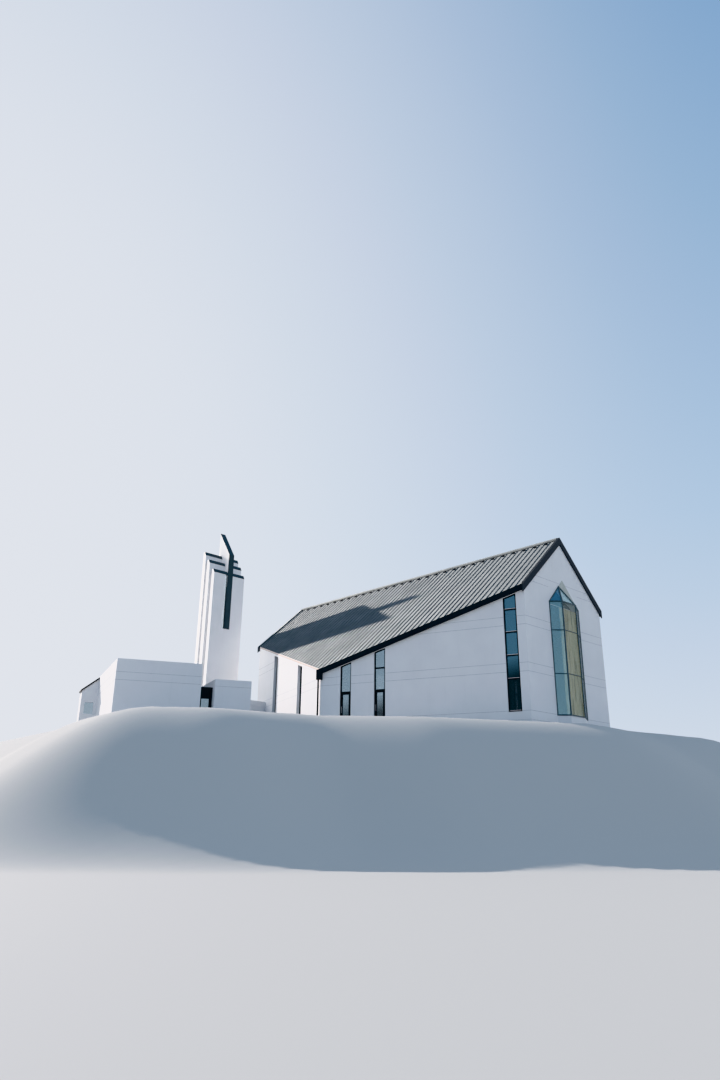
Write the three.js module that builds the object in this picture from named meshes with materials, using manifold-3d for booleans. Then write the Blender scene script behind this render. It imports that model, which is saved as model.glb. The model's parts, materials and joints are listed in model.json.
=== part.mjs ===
// A modern church: a tall nave with a stretched hexagon plan under one straight ridge, a folded glass
// bay in its front gable, a low flat-roofed wing with the entrance beside it, and a bell tower made of
// three upright slabs with a fin and a cross.
//
// Millimetres, +Z up. The ridge runs along +Y and the front gable looks along -Y. The origin is on the
// ground under the middle of the front gable wall.
import * as THREE from 'three';
import { mergeVertices } from 'three/addons/utils/BufferGeometryUtils.js';
import { ConvexGeometry } from 'three/addons/geometries/ConvexGeometry.js';
import Module from 'manifold-3d';

// Levels above the ground
const FLOOR = 700;
const FLOOR_DEPTH = 250;
const DOOR_HEAD = 2890;

// Nave plan and roof
const GABLE_HALF = 4600;
const KNEE_HALF = 9420;
const NAVE_LENGTH = 27600;
const WALL = 400;
const RIDGE_UNDER = 12830;
const ROOF_SLOPE = 0.904;
const ROOF_RISE = 300;
const ROOF_OVERHANG = 30;
const VERGE_DEPTH = 70;
const VERGE_COVER = 110;
const VERGE_LOW = -90;
const VERGE_HIGH = ROOF_RISE + 120;
const GUTTER_WIDTH = 170;
const GUTTER_LOW = -70;
const GUTTER_HIGH = 270;
const CORNER_SETBACK = 10;
const HOPPER_NEAR = 150;
const HOPPER_PAST = 215;
const HOPPER_DEPTH = 260;
const HOPPER_FOOT = 3850;
const PIPE = 80;
const PIPE_PAST = 100;
const PIPE_STAND = 40;
const RIDGE_CAP_HALF = 280;
const RIDGE_CAP_RISE = 150;

// Openings in a front side wall: distance of each edge from the gable corner, along the wall
const SIDE_WINDOWS = [
  { name: 'front_window', near: 550, far: 1400, sill: 1020, lights: [3020, 4470, 5940, 7400] },
  { name: 'middle_window', near: 9680, far: 10500, sill: FLOOR, lights: [DOOR_HEAD, 4360] },
  { name: 'rear_window', near: 12240, far: 13070, sill: FLOOR, lights: [DOOR_HEAD] },
];
// Slots in a rear side wall, which reach from the floor to the eave: distance of each edge from the knee
const SLOT_WINDOWS = [
  { name: 'knee_slot', near: 3780, far: 4720 },
  { name: 'rear_slot', near: 9570, far: 10440 },
];
const FRAME_FACE = 70;
const FRAME_DEPTH = 90;
const FRAME_SETBACK = 70;
const HEAD_DROP = 120;
const GLASS = 28;
const GLASS_BEHIND = 30;
const LEAF_GLASS_BEHIND = 16;
const REBATE = 10;
const SLOT_SETBACK = 220;

// Doorways inside the building
const INNER_DOOR_WIDTH = 900;
const INNER_DOOR_HEIGHT = 2040;
const LINK_DOOR_START = 400;
const MEETING_DOOR_START = 2400;
const PORCH_DOOR_JAMB = 60;

// Hinged side doors under two of the windows
const DOOR_GAP = 10;
const LEAF_STILE = 110;
const LEAF_DEPTH = 60;
const HINGE_PROUD = 12;
const HINGE_RADIUS = 9;
const HINGE_LUG = 34;
const HINGE_LUG_RISE = 4;
const HINGE_KNUCKLE = 60;
const HINGE_INSET = 260;

// Folded glass bay in the front gable
const BAY_HALF = 1750;
const BAY_LEFT_FOLD = -1150;
const BAY_RIGHT_FOLD = 450;
const BAY_PROJECTION = 600;
const BAY_SILL = 1000;
const BAY_CAP_BASE = 8380;
const BAY_PEAK_X = -500;
const BAY_PEAK = 9630;
const BAY_GLASS = 36;
const BAY_SEAT = 50;
const BAY_MEMBER = 76;
const BAY_TRANSOMS = [3630, 6460];
const BAY_TRANSOM = 50;
const HEAD_PANEL = 25;
const HEAD_PANEL_START = 150;
const HEAD_PANEL_TOP = 10150;
const CURTAIN = { left: -450, right: 1660, front: -150, back: -50, foot: 1030 };
const CURTAIN_RAIL_LEVEL = 8250;
const CURTAIN_RAIL_RADIUS = 20;

// Wing: its own plan axes start at the front left corner
const WING_CORNER = [-20590, 21640];
const WING_FRONT_TURN = THREE.MathUtils.degToRad(-25.3);
const WING_SIDE_TURN = THREE.MathUtils.degToRad(18.3);
const WING_WALL = 300;
const MEETING_LENGTH = 5710;
const MEETING_DEPTH = 9840;
const MEETING_TOP = 4860;
const HALL_LEFT = 6650;
const HALL_RIGHT = 9200;
const HALL_BEND = 7900;
const HALL_TOP = 3870;
const LINK_FRONT = 25240;
const PARAPET = 300;
const DECK = 200;

// Entrance between the two wing blocks
const PORCH_RECESS = 580;
const PORCH_DEPTH = 3900;
const PORCH_HEAD = 2740;
const PORCH_TOP = 3360;
const PORCH_STILE = 90;
const PORCH_RAIL = 60;
const PORCH_FRAME_DEPTH = 110;

// Lean-to at the far end of the wing
const LEAN_START = 8300;
const LEAN_DEPTH = 1200;
const LEAN_WIDTH = 1150;
const LEAN_HIGH = 4700;
const LEAN_LOW = 3760;
const LEAN_WALL = 200;
const LEAN_ROOF = 120;
const LEAN_EAVES = 80;
const LEAN_WINDOW = { near: 280, far: 920, sill: 2050, head: 2900, setback: 60, depth: 50 };

// Tower
const TOWER_FRONT = 31480;
const TOWER_RIGHT = -3930;
const TOWER_SLABS = [
  { name: 'tower_front_slab', left: -7300, start: 0, depth: 400, top: 16160 },
  { name: 'tower_middle_slab', arm: 'middle_arm', left: -7500, start: 570, depth: 430, top: 17130 },
  { name: 'tower_back_slab', arm: 'back_arm', left: -7620, start: 1170, depth: 400, top: 17980 },
];
const GROOVE_INSET = 170;
const ARM_RISE = 330;
const ARM_PROUD = 20;
const ARM_LEAN = 170;
const FIN_LEFT = -5780;
const FIN_RIGHT = -5250;
const FIN_FOOT = 15000;
const FIN_FRONT_Z = 18190;
const FIN_TIP_Z = 20760;
const FIN_BACK = 1770;
const CROSS_FOOT = 11040;
const CROSS_PROUD = 20;
const CROSS_SKIN = 60;
const STRIP_LEFT = -6050;
const STRIP_SETBACK = 100;
const STRIP_GLASS = 40;

// The space between touching pieces, how far a cutter reaches past a face, and a length past everything
const SEAT = 0.3;
const CUT = 100;
const FAR = 40000;

const wasm = await Module();
wasm.setup();

const FINISHES = {
  white_concrete: new THREE.MeshStandardMaterial({ color: 0xd8dbe2, roughness: 0.85, metalness: 0 }),
  dark_frame: new THREE.MeshStandardMaterial({ color: 0x1d2428, roughness: 0.5, metalness: 0.2 }),
  roof_metal: new THREE.MeshStandardMaterial({ color: 0x4a565c, roughness: 0.45, metalness: 0.7 }),
  black_metal: new THREE.MeshStandardMaterial({ color: 0x14181b, roughness: 0.5, metalness: 0.6 }),
  window_glass: new THREE.MeshStandardMaterial({ color: 0x5f7f95, roughness: 0.08, metalness: 0 }),
  floor_concrete: new THREE.MeshStandardMaterial({ color: 0x9a9a96, roughness: 0.8, metalness: 0 }),
  curtain_cloth: new THREE.MeshStandardMaterial({ color: 0xa59a6c, roughness: 0.9, metalness: 0 }),
};

const building = new THREE.Group();

// A closed mesh as a solid that can be joined and cut.
function toSolid(geometry) {
  const bare = geometry.clone();
  for (const name of Object.keys(bare.attributes)) if (name !== 'position') bare.deleteAttribute(name);
  const merged = mergeVertices(bare, 1e-3);
  return new wasm.Manifold(new wasm.Mesh({
    numProp: 3,
    vertProperties: new Float32Array(merged.attributes.position.array),
    triVerts: new Uint32Array(merged.index.array),
  }));
}

// Adds a solid to the building as a named piece.
function addPiece(name, solid, finish) {
  const data = solid.getMesh();
  const geometry = new THREE.BufferGeometry();
  geometry.setAttribute('position', new THREE.BufferAttribute(data.vertProperties, 3));
  geometry.setIndex(new THREE.BufferAttribute(data.triVerts, 1));
  geometry.computeVertexNormals();
  const piece = new THREE.Mesh(geometry, FINISHES[finish].clone());
  piece.name = name;
  building.add(piece);
}

function shapeOf(points) {
  return new THREE.Shape(points.map(([x, y]) => new THREE.Vector2(x, y)));
}

// An upright prism on a plan outline.
function prism(points, bottom, top) {
  const geometry = new THREE.ExtrudeGeometry(shapeOf(points), { depth: top - bottom, bevelEnabled: false });
  geometry.translate(0, 0, bottom);
  return toSolid(geometry);
}

// A prism along +Y on an outline in X and Z.
function sideways(points, front, back) {
  const geometry = new THREE.ExtrudeGeometry(shapeOf(points), { depth: back - front, bevelEnabled: false });
  geometry.rotateX(Math.PI / 2);
  geometry.translate(0, back, 0);
  return toSolid(geometry);
}

// A prism along +X on an outline in Y and Z.
function crossways(points, left, right) {
  const geometry = new THREE.ExtrudeGeometry(shapeOf(points), { depth: right - left, bevelEnabled: false });
  geometry.rotateY(Math.PI / 2);
  geometry.rotateX(Math.PI / 2);
  geometry.translate(left, 0, 0);
  return toSolid(geometry);
}

function block(x0, x1, y0, y1, z0, z1) {
  return prism([[x0, y0], [x1, y0], [x1, y1], [x0, y1]], z0, z1);
}

function hull(points) {
  return toSolid(new ConvexGeometry(points.map((p) => new THREE.Vector3(...p))));
}

// A square bar between two points.
function bar(from, to, side) {
  const a = new THREE.Vector3(...from);
  const b = new THREE.Vector3(...to);
  const geometry = new THREE.BoxGeometry(side, side, a.distanceTo(b) + side);
  const along = b.clone().sub(a).normalize();
  geometry.applyQuaternion(new THREE.Quaternion().setFromUnitVectors(new THREE.Vector3(0, 0, 1), along));
  const middle = a.add(b).multiplyScalar(0.5);
  geometry.translate(middle.x, middle.y, middle.z);
  return toSolid(geometry);
}

function join(solids) {
  return solids.reduce((whole, next) => whole.add(next));
}

function mirrored(solid) {
  return solid.mirror([1, 0, 0]);
}

// A closed plan outline moved inwards by a distance; the points run anticlockwise.
function inset(points, distance) {
  const count = points.length;
  const edges = points.map((p, i) => {
    const q = points[(i + 1) % count];
    const length = Math.hypot(q[0] - p[0], q[1] - p[1]);
    const dir = [(q[0] - p[0]) / length, (q[1] - p[1]) / length];
    return { at: [p[0] - dir[1] * distance, p[1] + dir[0] * distance], dir };
  });
  return edges.map((edge, i) => {
    const last = edges[(i + count - 1) % count];
    const cross = last.dir[0] * edge.dir[1] - last.dir[1] * edge.dir[0];
    const dx = edge.at[0] - last.at[0];
    const dy = edge.at[1] - last.at[1];
    const k = (dx * edge.dir[1] - dy * edge.dir[0]) / cross;
    return [last.at[0] + last.dir[0] * k, last.at[1] + last.dir[1] * k];
  });
}

// The nave

const FRONT = -WALL / 2;
const REAR = FRONT + NAVE_LENGTH;
const KNEE_Y = FRONT + NAVE_LENGTH / 2;
const NAVE_OUTLINE = [
  [-GABLE_HALF, FRONT], [GABLE_HALF, FRONT], [KNEE_HALF, KNEE_Y],
  [GABLE_HALF, REAR], [-GABLE_HALF, REAR], [-KNEE_HALF, KNEE_Y],
];
const NAVE_INNER = inset(NAVE_OUTLINE, WALL);

function roofLine(x, rise) {
  return [x, RIDGE_UNDER - ROOF_SLOPE * Math.abs(x) + rise];
}

// Everything below the roof's underside, moved up by a rise.
function underRoof(rise) {
  const reach = KNEE_HALF + 10 * CUT;
  return sideways(
    [[-reach, -CUT], [reach, -CUT], roofLine(reach, rise), roofLine(0, rise), roofLine(-reach, rise)],
    FRONT - 10 * CUT, REAR + 10 * CUT,
  );
}

// The plan of one wall between two corners, ending at the mitres with its neighbours.
function wallPlan(index) {
  const next = (index + 1) % NAVE_OUTLINE.length;
  const [a, b] = [NAVE_OUTLINE[index], NAVE_OUTLINE[next]];
  const [c, d] = [NAVE_INNER[next], NAVE_INNER[index]];
  const length = Math.hypot(b[0] - a[0], b[1] - a[1]);
  const step = [(b[0] - a[0]) / length * SEAT / 2, (b[1] - a[1]) / length * SEAT / 2];
  return [
    [a[0] + step[0], a[1] + step[1]], [b[0] - step[0], b[1] - step[1]],
    [c[0] - step[0], c[1] - step[1]], [d[0] + step[0], d[1] + step[1]],
  ];
}

// The frame of a wall: a point is given by its distance along the wall from the start corner, its depth
// inwards from the outer face, and its height. The inner side is on the right, or on the left at side -1.
function wallFrame(start, end, side = 1) {
  const length = Math.hypot(end[0] - start[0], end[1] - start[1]);
  const along = [(end[0] - start[0]) / length, (end[1] - start[1]) / length];
  const inward = [along[1] * side, -along[0] * side];
  const at = (s, d) => [start[0] + along[0] * s + inward[0] * d, start[1] + along[1] * s + inward[1] * d];
  const box = (s0, s1, d0, d1, z0, z1) => prism(
    orient([at(s0, d0), at(s0, d1), at(s1, d1), at(s1, d0)]), z0, z1,
  );
  return { length, at, box };
}

const FRONT_LEFT = wallFrame(NAVE_OUTLINE[0], NAVE_OUTLINE[5]);
const REAR_LEFT = wallFrame(NAVE_OUTLINE[5], NAVE_OUTLINE[4]);

function orient(points) {
  return THREE.ShapeUtils.isClockWise(points.map(([x, y]) => new THREE.Vector2(x, y)))
    ? points.slice().reverse() : points;
}

// A band that follows the roof plane between two rises, cut to a plan outline.
function roofBand(points, low, high) {
  return prism(orient(points), 0, FAR).intersect(underRoof(high)).subtract(underRoof(low));
}

// A glazed frame in a wall opening: bars round the edge and at each light, with one sheet behind them.
// Its head follows the roof, a drop below it.
function windowPiece(frame, near, far, sill, setback, lights, drop) {
  const s0 = near + SEAT;
  const s1 = far - SEAT;
  let piece = frame.box(s0, s1, setback, setback + FRAME_DEPTH, sill + SEAT, FAR);
  const edges = [sill + FRAME_FACE / 2, ...lights, FAR];
  const head = underRoof(-drop - FRAME_FACE * Math.hypot(1, ROOF_SLOPE));
  for (let i = 0; i + 1 < edges.length; i += 1) {
    const light = frame.box(s0 + FRAME_FACE, s1 - FRAME_FACE, setback - CUT, setback + FRAME_DEPTH + CUT,
      edges[i] + FRAME_FACE / 2, edges[i + 1] - FRAME_FACE / 2);
    piece = piece.subtract(light.intersect(head));
  }
  const sheet = frame.box(s0 + REBATE, s1 - REBATE, setback + GLASS_BEHIND, setback + GLASS_BEHIND + GLASS,
    sill + REBATE, FAR);
  return piece.add(sheet).intersect(underRoof(-drop - 2 * SEAT));
}

function addNaveShell() {
  const below = underRoof(-SEAT);
  const heads = underRoof(-HEAD_DROP - SEAT);
  const sideCuts = SIDE_WINDOWS.map(
    (w) => FRONT_LEFT.box(w.near, w.far, -CUT, WALL + CUT, w.sill, FAR).intersect(heads),
  );
  const slotCuts = SLOT_WINDOWS.map((w) => REAR_LEFT.box(w.near, w.far, -CUT, WALL + CUT, FLOOR, FAR));
  let frontSide = prism(orient(wallPlan(5)), 0, FAR).intersect(below);
  for (const cut of sideCuts) frontSide = frontSide.subtract(cut);
  let rearSide = prism(orient(wallPlan(4)), 0, FAR).intersect(below);
  for (const cut of slotCuts) rearSide = rearSide.subtract(cut);
  addPiece('front_left_wall', frontSide, 'white_concrete');
  addPiece('front_right_wall', mirrored(frontSide), 'white_concrete');
  addPiece('rear_right_wall', mirrored(rearSide), 'white_concrete');
  addPiece('rear_left_wall', rearSide.subtract(linkDoorway()), 'white_concrete');
  addPiece('rear_gable', prism(orient(wallPlan(3)), 0, FAR).intersect(below), 'white_concrete');

  const bayHole = sideways([
    [-BAY_HALF + BAY_SEAT, BAY_SILL], [BAY_HALF - BAY_SEAT, BAY_SILL],
    [BAY_HALF - BAY_SEAT, BAY_CAP_BASE - BAY_SEAT / 2], [BAY_PEAK_X, BAY_PEAK - BAY_SEAT],
    [-BAY_HALF + BAY_SEAT, BAY_CAP_BASE - BAY_SEAT / 2],
  ], FRONT - 1, FRONT + WALL + CUT);
  const bayBase = prism([
    [-BAY_HALF, FRONT + CUT], [-BAY_HALF, FRONT], [BAY_LEFT_FOLD, FRONT - BAY_PROJECTION],
    [BAY_RIGHT_FOLD, FRONT - BAY_PROJECTION], [BAY_HALF, FRONT], [BAY_HALF, FRONT + CUT],
  ], 0, BAY_SILL);
  const frontGable = prism(orient(wallPlan(0)), 0, FAR).intersect(below).subtract(bayHole).add(bayBase);
  addPiece('front_gable', frontGable, 'white_concrete');

  const floorPlan = inset(NAVE_OUTLINE, WALL + SEAT);
  addPiece('nave_floor', prism(floorPlan, FLOOR - FLOOR_DEPTH, FLOOR), 'floor_concrete');
}

// The doorway from the link into the nave, through both walls.
function linkDoorway() {
  const near = LINK_FRONT + LINK_DOOR_START;
  return block(-KNEE_HALF, -GABLE_HALF + 2 * WALL, near, near + INNER_DOOR_WIDTH, FLOOR,
    FLOOR + INNER_DOOR_HEIGHT);
}

function addNaveRoof() {
  const outline = inset(NAVE_OUTLINE, -ROOF_OVERHANG);
  const whole = roofBand(outline, 0, ROOF_RISE);
  const left = whole.intersect(block(-FAR, -SEAT / 2, -FAR, FAR, 0, FAR));
  addPiece('roof_left_slope', left, 'roof_metal');
  addPiece('roof_right_slope', mirrored(left), 'roof_metal');
  const coverFront = FRONT + VERGE_COVER;
  const coverRear = REAR - VERGE_COVER;
  const capPlan = [
    [-RIDGE_CAP_HALF, coverFront + SEAT], [RIDGE_CAP_HALF, coverFront + SEAT],
    [RIDGE_CAP_HALF, coverRear - SEAT], [-RIDGE_CAP_HALF, coverRear - SEAT],
  ];
  addPiece('ridge_cap', roofBand(capPlan, ROOF_RISE + SEAT, ROOF_RISE + RIDGE_CAP_RISE), 'roof_metal');

  const vergeHalf = GABLE_HALF + ROOF_OVERHANG + GUTTER_WIDTH;
  const vergeFront = FRONT - ROOF_OVERHANG - SEAT;
  const vergeRear = REAR + ROOF_OVERHANG + SEAT;
  const board = vergeShape(vergeHalf, VERGE_LOW);
  const cover = vergeShape(GABLE_HALF, ROOF_RISE + SEAT);
  const front = sideways(board, vergeFront - VERGE_DEPTH, vergeFront)
    .add(sideways(cover, vergeFront - 1, coverFront));
  const rear = sideways(board, vergeRear, vergeRear + VERGE_DEPTH)
    .add(sideways(cover, coverRear, vergeRear + 1));
  addPiece('front_verge', front, 'black_metal');
  addPiece('rear_verge', rear, 'black_metal');
}

// The outline of a verge board, or of its cover over the roof's edge, from a low rise up to its top.
function vergeShape(half, low) {
  return [
    roofLine(-half, low), roofLine(0, low), roofLine(half, low),
    roofLine(half, VERGE_HIGH), roofLine(0, VERGE_HIGH), roofLine(-half, VERGE_HIGH),
  ];
}

// A box along the eave of the front side wall, level across its depth and climbing with the eave.
function alongEave(s0, s1, d0, d1, low, high) {
  const eave = (s) => roofLine(FRONT_LEFT.at(s, 0)[0], 0)[1];
  const corners = [[s0, d0], [s1, d0], [s1, d1], [s0, d1]];
  return hull(corners.flatMap(([s, d]) => [
    [...FRONT_LEFT.at(s, d), eave(s) + low], [...FRONT_LEFT.at(s, d), eave(s) + high],
  ]));
}

// The front gutter, with the hopper and pipe at its low end by the knee.
function addRainwater() {
  const end = FRONT_LEFT.length;
  const outside = -ROOF_OVERHANG - SEAT;
  const gutter = alongEave(-10 * CUT, end - HOPPER_NEAR - SEAT, outside - GUTTER_WIDTH, outside,
    GUTTER_LOW, GUTTER_HIGH).intersect(block(-FAR, 0, FRONT - ROOF_OVERHANG, FAR, 0, FAR));
  addPiece('left_gutter', gutter, 'black_metal');
  addPiece('right_gutter', mirrored(gutter), 'black_metal');

  const past = end + HOPPER_PAST;
  const hopper = alongEave(end - HOPPER_NEAR, past, -HOPPER_DEPTH, outside, -FLOOR, GUTTER_HIGH)
    .intersect(block(-FAR, 0, 0, FAR, HOPPER_FOOT, FAR));
  const seat = FRONT_LEFT.box(end - HOPPER_NEAR, end - CORNER_SETBACK, outside - 1, -SEAT, HOPPER_FOOT, FAR)
    .intersect(underRoof(-SEAT));
  const pipe = FRONT_LEFT.box(end + PIPE_PAST, end + PIPE_PAST + PIPE, -PIPE_STAND - PIPE, -PIPE_STAND, 0,
    HOPPER_FOOT + 1);
  const rainwater = join([hopper, seat, pipe]);
  addPiece('left_downpipe', rainwater, 'black_metal');
  addPiece('right_downpipe', mirrored(rainwater), 'black_metal');
}

function addNaveWindows() {
  for (const w of SIDE_WINDOWS) {
    const glazed = windowPiece(FRONT_LEFT, w.near, w.far, w.sill, FRAME_SETBACK, w.lights, HEAD_DROP);
    const doorway = FRONT_LEFT.box(w.near + FRAME_FACE, w.far - FRAME_FACE, -CUT, WALL, 0,
      DOOR_HEAD - FRAME_FACE / 2);
    addPiece(`right_${w.name}`, mirrored(glazed), 'dark_frame');
    if (w.sill === FLOOR) {
      addPiece(`left_${w.name}`, glazed.subtract(doorway).add(sideHinges(w).frameSide), 'dark_frame');
    } else {
      addPiece(`left_${w.name}`, glazed, 'dark_frame');
    }
  }
  for (const w of SLOT_WINDOWS) {
    const glazed = windowPiece(REAR_LEFT, w.near, w.far, FLOOR, SLOT_SETBACK, [], 0);
    addPiece(`left_${w.name}`, glazed, 'dark_frame');
    addPiece(`right_${w.name}`, mirrored(glazed), 'dark_frame');
  }
}

// Hinges on the face of a frame: the leaf's knuckle turns between the frame's two knuckles. The pin stands
// at a distance along the wall, and the leaf lies on its far side, or on its near side at turn -1.
function hinges(frame, pin, setback, bottom, top, turn) {
  const [x, y] = frame.at(pin, setback - HINGE_PROUD);
  const barrel = (z0, z1) => {
    const geometry = new THREE.CylinderGeometry(HINGE_RADIUS, HINGE_RADIUS, z1 - z0, 16);
    geometry.rotateX(Math.PI / 2);
    geometry.translate(x, y, (z0 + z1) / 2);
    return toSolid(geometry);
  };
  const lug = (side, z0, z1) => {
    const edges = [pin + side * DOOR_GAP / 2, pin + side * HINGE_LUG].sort((a, b) => a - b);
    return frame.box(edges[0], edges[1], setback - HINGE_PROUD - HINGE_LUG_RISE, setback + 1,
      z0, z1);
  };
  const knuckle = (side, z0, z1) => barrel(z0, z1).add(lug(side, z0, z1));
  const leafSide = [];
  const frameSide = [];
  for (const level of [bottom + HINGE_INSET, top - HINGE_INSET]) {
    const [low, high] = [level - HINGE_KNUCKLE / 2, level + HINGE_KNUCKLE / 2];
    leafSide.push(knuckle(turn, low, high));
    frameSide.push(knuckle(-turn, low - HINGE_KNUCKLE / 2, low - SEAT));
    frameSide.push(knuckle(-turn, high + SEAT, high + HINGE_KNUCKLE / 2));
  }
  return { leafSide: join(leafSide), frameSide: join(frameSide) };
}

// A glazed leaf between two stiles, in a wall frame.
function leaf(frame, near, far, setback, bottom, top) {
  const outer = frame.box(near, far, setback, setback + LEAF_DEPTH, bottom, top);
  const hole = frame.box(near + LEAF_STILE, far - LEAF_STILE, setback - CUT, setback + LEAF_DEPTH + CUT,
    bottom + LEAF_STILE, top - LEAF_STILE);
  const sheet = frame.box(near + REBATE, far - REBATE, setback + LEAF_GLASS_BEHIND,
    setback + LEAF_GLASS_BEHIND + GLASS, bottom + REBATE, top - REBATE);
  return outer.subtract(hole).add(sheet);
}

const SIDE_LEAF_FOOT = FLOOR + DOOR_GAP;
const SIDE_LEAF_TOP = DOOR_HEAD - FRAME_FACE / 2 - DOOR_GAP;

function sideHinges(w) {
  const pin = w.near + FRAME_FACE + DOOR_GAP / 2;
  return hinges(FRONT_LEFT, pin, FRAME_SETBACK, SIDE_LEAF_FOOT, SIDE_LEAF_TOP, 1);
}

function addSideDoors() {
  for (const w of SIDE_WINDOWS.filter((item) => item.sill === FLOOR)) {
    const near = w.near + FRAME_FACE + DOOR_GAP;
    const far = w.far - FRAME_FACE - DOOR_GAP;
    const door = leaf(FRONT_LEFT, near, far, FRAME_SETBACK, SIDE_LEAF_FOOT, SIDE_LEAF_TOP);
    addPiece(w.name.replace('window', 'side_door'), door.add(sideHinges(w).leafSide), 'dark_frame');
  }
}

const BAY_BACK = FRONT - SEAT;

// The four plan corners of the bay, with its upright faces moved outwards by a distance.
function bayPlan(grow) {
  const [leftRun, rightRun] = [BAY_HALF + BAY_LEFT_FOLD, BAY_HALF - BAY_RIGHT_FOLD];
  const leftShift = grow * Math.hypot(leftRun, BAY_PROJECTION) / BAY_PROJECTION;
  const rightShift = grow * Math.hypot(rightRun, BAY_PROJECTION) / BAY_PROJECTION;
  const front = BAY_BACK - BAY_PROJECTION - grow;
  return [
    [-BAY_HALF - leftShift, BAY_BACK],
    [BAY_LEFT_FOLD - leftShift + grow * leftRun / BAY_PROJECTION, front],
    [BAY_RIGHT_FOLD + rightShift - grow * rightRun / BAY_PROJECTION, front],
    [BAY_HALF + rightShift, BAY_BACK],
  ];
}

// The bay as one solid, reaching behind the wall face by a distance.
function bayBody(grow, behind, foot) {
  const corners = bayPlan(grow);
  const seated = [corners[0], corners[3]].map(([x, y]) => [x, y + behind]);
  const edge = [...corners, ...seated];
  const cap = BAY_CAP_BASE + grow / 2;
  const peak = BAY_PEAK + grow;
  return hull([
    ...edge.map((p) => [...p, foot]), ...edge.map((p) => [...p, cap]),
    [BAY_PEAK_X, BAY_BACK, peak], [BAY_PEAK_X, BAY_BACK + behind, peak],
  ]);
}

// The folded bay: an upright glass prism with a faceted cap, dark bars on its edges.
function addBay() {
  const hollow = bayBody(-BAY_GLASS, REBATE, BAY_SILL - CUT);
  addPiece('bay_glass', bayBody(0, 0, BAY_SILL + SEAT).subtract(hollow), 'window_glass');

  const corners = bayPlan(0);
  const sill = BAY_SILL + BAY_MEMBER / 2;
  const peak = [BAY_PEAK_X, BAY_BACK, BAY_PEAK];
  const rail = (level, side) => corners.slice(1).map(
    (q, i) => bar([...corners[i], level], [...q, level], side),
  );
  const bars = [
    ...corners.map((p) => bar([...p, sill], [...p, BAY_CAP_BASE], BAY_MEMBER)),
    ...corners.map((p) => bar([...p, BAY_CAP_BASE], peak, BAY_MEMBER)),
    ...rail(sill, BAY_MEMBER),
    ...rail(BAY_CAP_BASE, BAY_MEMBER),
    ...BAY_TRANSOMS.flatMap((level) => rail(level, BAY_TRANSOM)),
  ];
  const outside = block(-FAR, FAR, -FAR, BAY_BACK, BAY_SILL + SEAT, FAR);
  const frame = join(bars).intersect(outside).subtract(bayBody(SEAT, WALL, BAY_SILL - CUT));
  addPiece('bay_frame', frame, 'dark_frame');

  const rightSlope = (BAY_PEAK - BAY_CAP_BASE) / (BAY_PEAK_X - BAY_HALF);
  const aboveBay = (x) => [x, BAY_CAP_BASE + rightSlope * (x - BAY_HALF) + BAY_MEMBER];
  const panel = [
    aboveBay(BAY_HALF - HEAD_PANEL_START),
    [0, HEAD_PANEL_TOP],
    aboveBay(BAY_PEAK_X + BAY_MEMBER / 2),
  ];
  addPiece('bay_head_panel', sideways(panel, BAY_BACK - HEAD_PANEL, BAY_BACK), 'roof_metal');
}

// The curtain inside the bay and the rod that it hangs from, across the opening from jamb to jamb.
function addCurtain() {
  const reach = BAY_HALF - BAY_SEAT - SEAT;
  const geometry = new THREE.CylinderGeometry(CURTAIN_RAIL_RADIUS, CURTAIN_RAIL_RADIUS, 2 * reach, 16);
  geometry.rotateZ(Math.PI / 2);
  geometry.translate(0, (CURTAIN.front + CURTAIN.back) / 2, CURTAIN_RAIL_LEVEL);
  addPiece('curtain_rail', toSolid(geometry), 'dark_frame');
  const top = CURTAIN_RAIL_LEVEL - CURTAIN_RAIL_RADIUS - SEAT;
  addPiece('bay_curtain', block(CURTAIN.left, CURTAIN.right, CURTAIN.front, CURTAIN.back, CURTAIN.foot, top),
    'curtain_cloth');
}

// The wing

const WING_ALONG = [Math.cos(WING_FRONT_TURN), Math.sin(WING_FRONT_TURN)];
const WING_BACK = [Math.sin(WING_SIDE_TURN), Math.cos(WING_SIDE_TURN)];

// A plan point of the wing from its distance along the front and back along the side.
function wing(along, back) {
  return [
    WING_CORNER[0] + WING_ALONG[0] * along + WING_BACK[0] * back,
    WING_CORNER[1] + WING_ALONG[1] * along + WING_BACK[1] * back,
  ];
}

function wingBox(a0, a1, b0, b1, z0, z1) {
  return prism(orient([wing(a0, b0), wing(a1, b0), wing(a1, b1), wing(a0, b1)]), z0, z1);
}

// The porch door stands square to the wing's front, measured from the recess line.
const PORCH = wallFrame(wing(0, PORCH_RECESS), wing(MEETING_LENGTH, PORCH_RECESS), -1);

function ring(points, thickness, top) {
  return prism(points, 0, top).subtract(prism(inset(points, thickness), -CUT, top + CUT));
}

function addMeetingBlock() {
  const outline = orient([
    wing(0, 0), wing(MEETING_LENGTH, 0), wing(MEETING_LENGTH, MEETING_DEPTH), wing(0, MEETING_DEPTH),
  ]);
  const doorway = wingBox(MEETING_LENGTH - WING_WALL - CUT, MEETING_LENGTH + CUT, MEETING_DOOR_START,
    MEETING_DOOR_START + INNER_DOOR_WIDTH, FLOOR, FLOOR + INNER_DOOR_HEIGHT);
  addPiece('meeting_block_walls', ring(outline, WING_WALL, MEETING_TOP).subtract(doorway), 'white_concrete');
  const inner = inset(outline, WING_WALL + SEAT);
  addPiece('meeting_block_floor', prism(inner, FLOOR - FLOOR_DEPTH, FLOOR), 'floor_concrete');
  addPiece('meeting_block_roof', prism(inner, MEETING_TOP - PARAPET - DECK, MEETING_TOP - PARAPET),
    'roof_metal');
}

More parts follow.
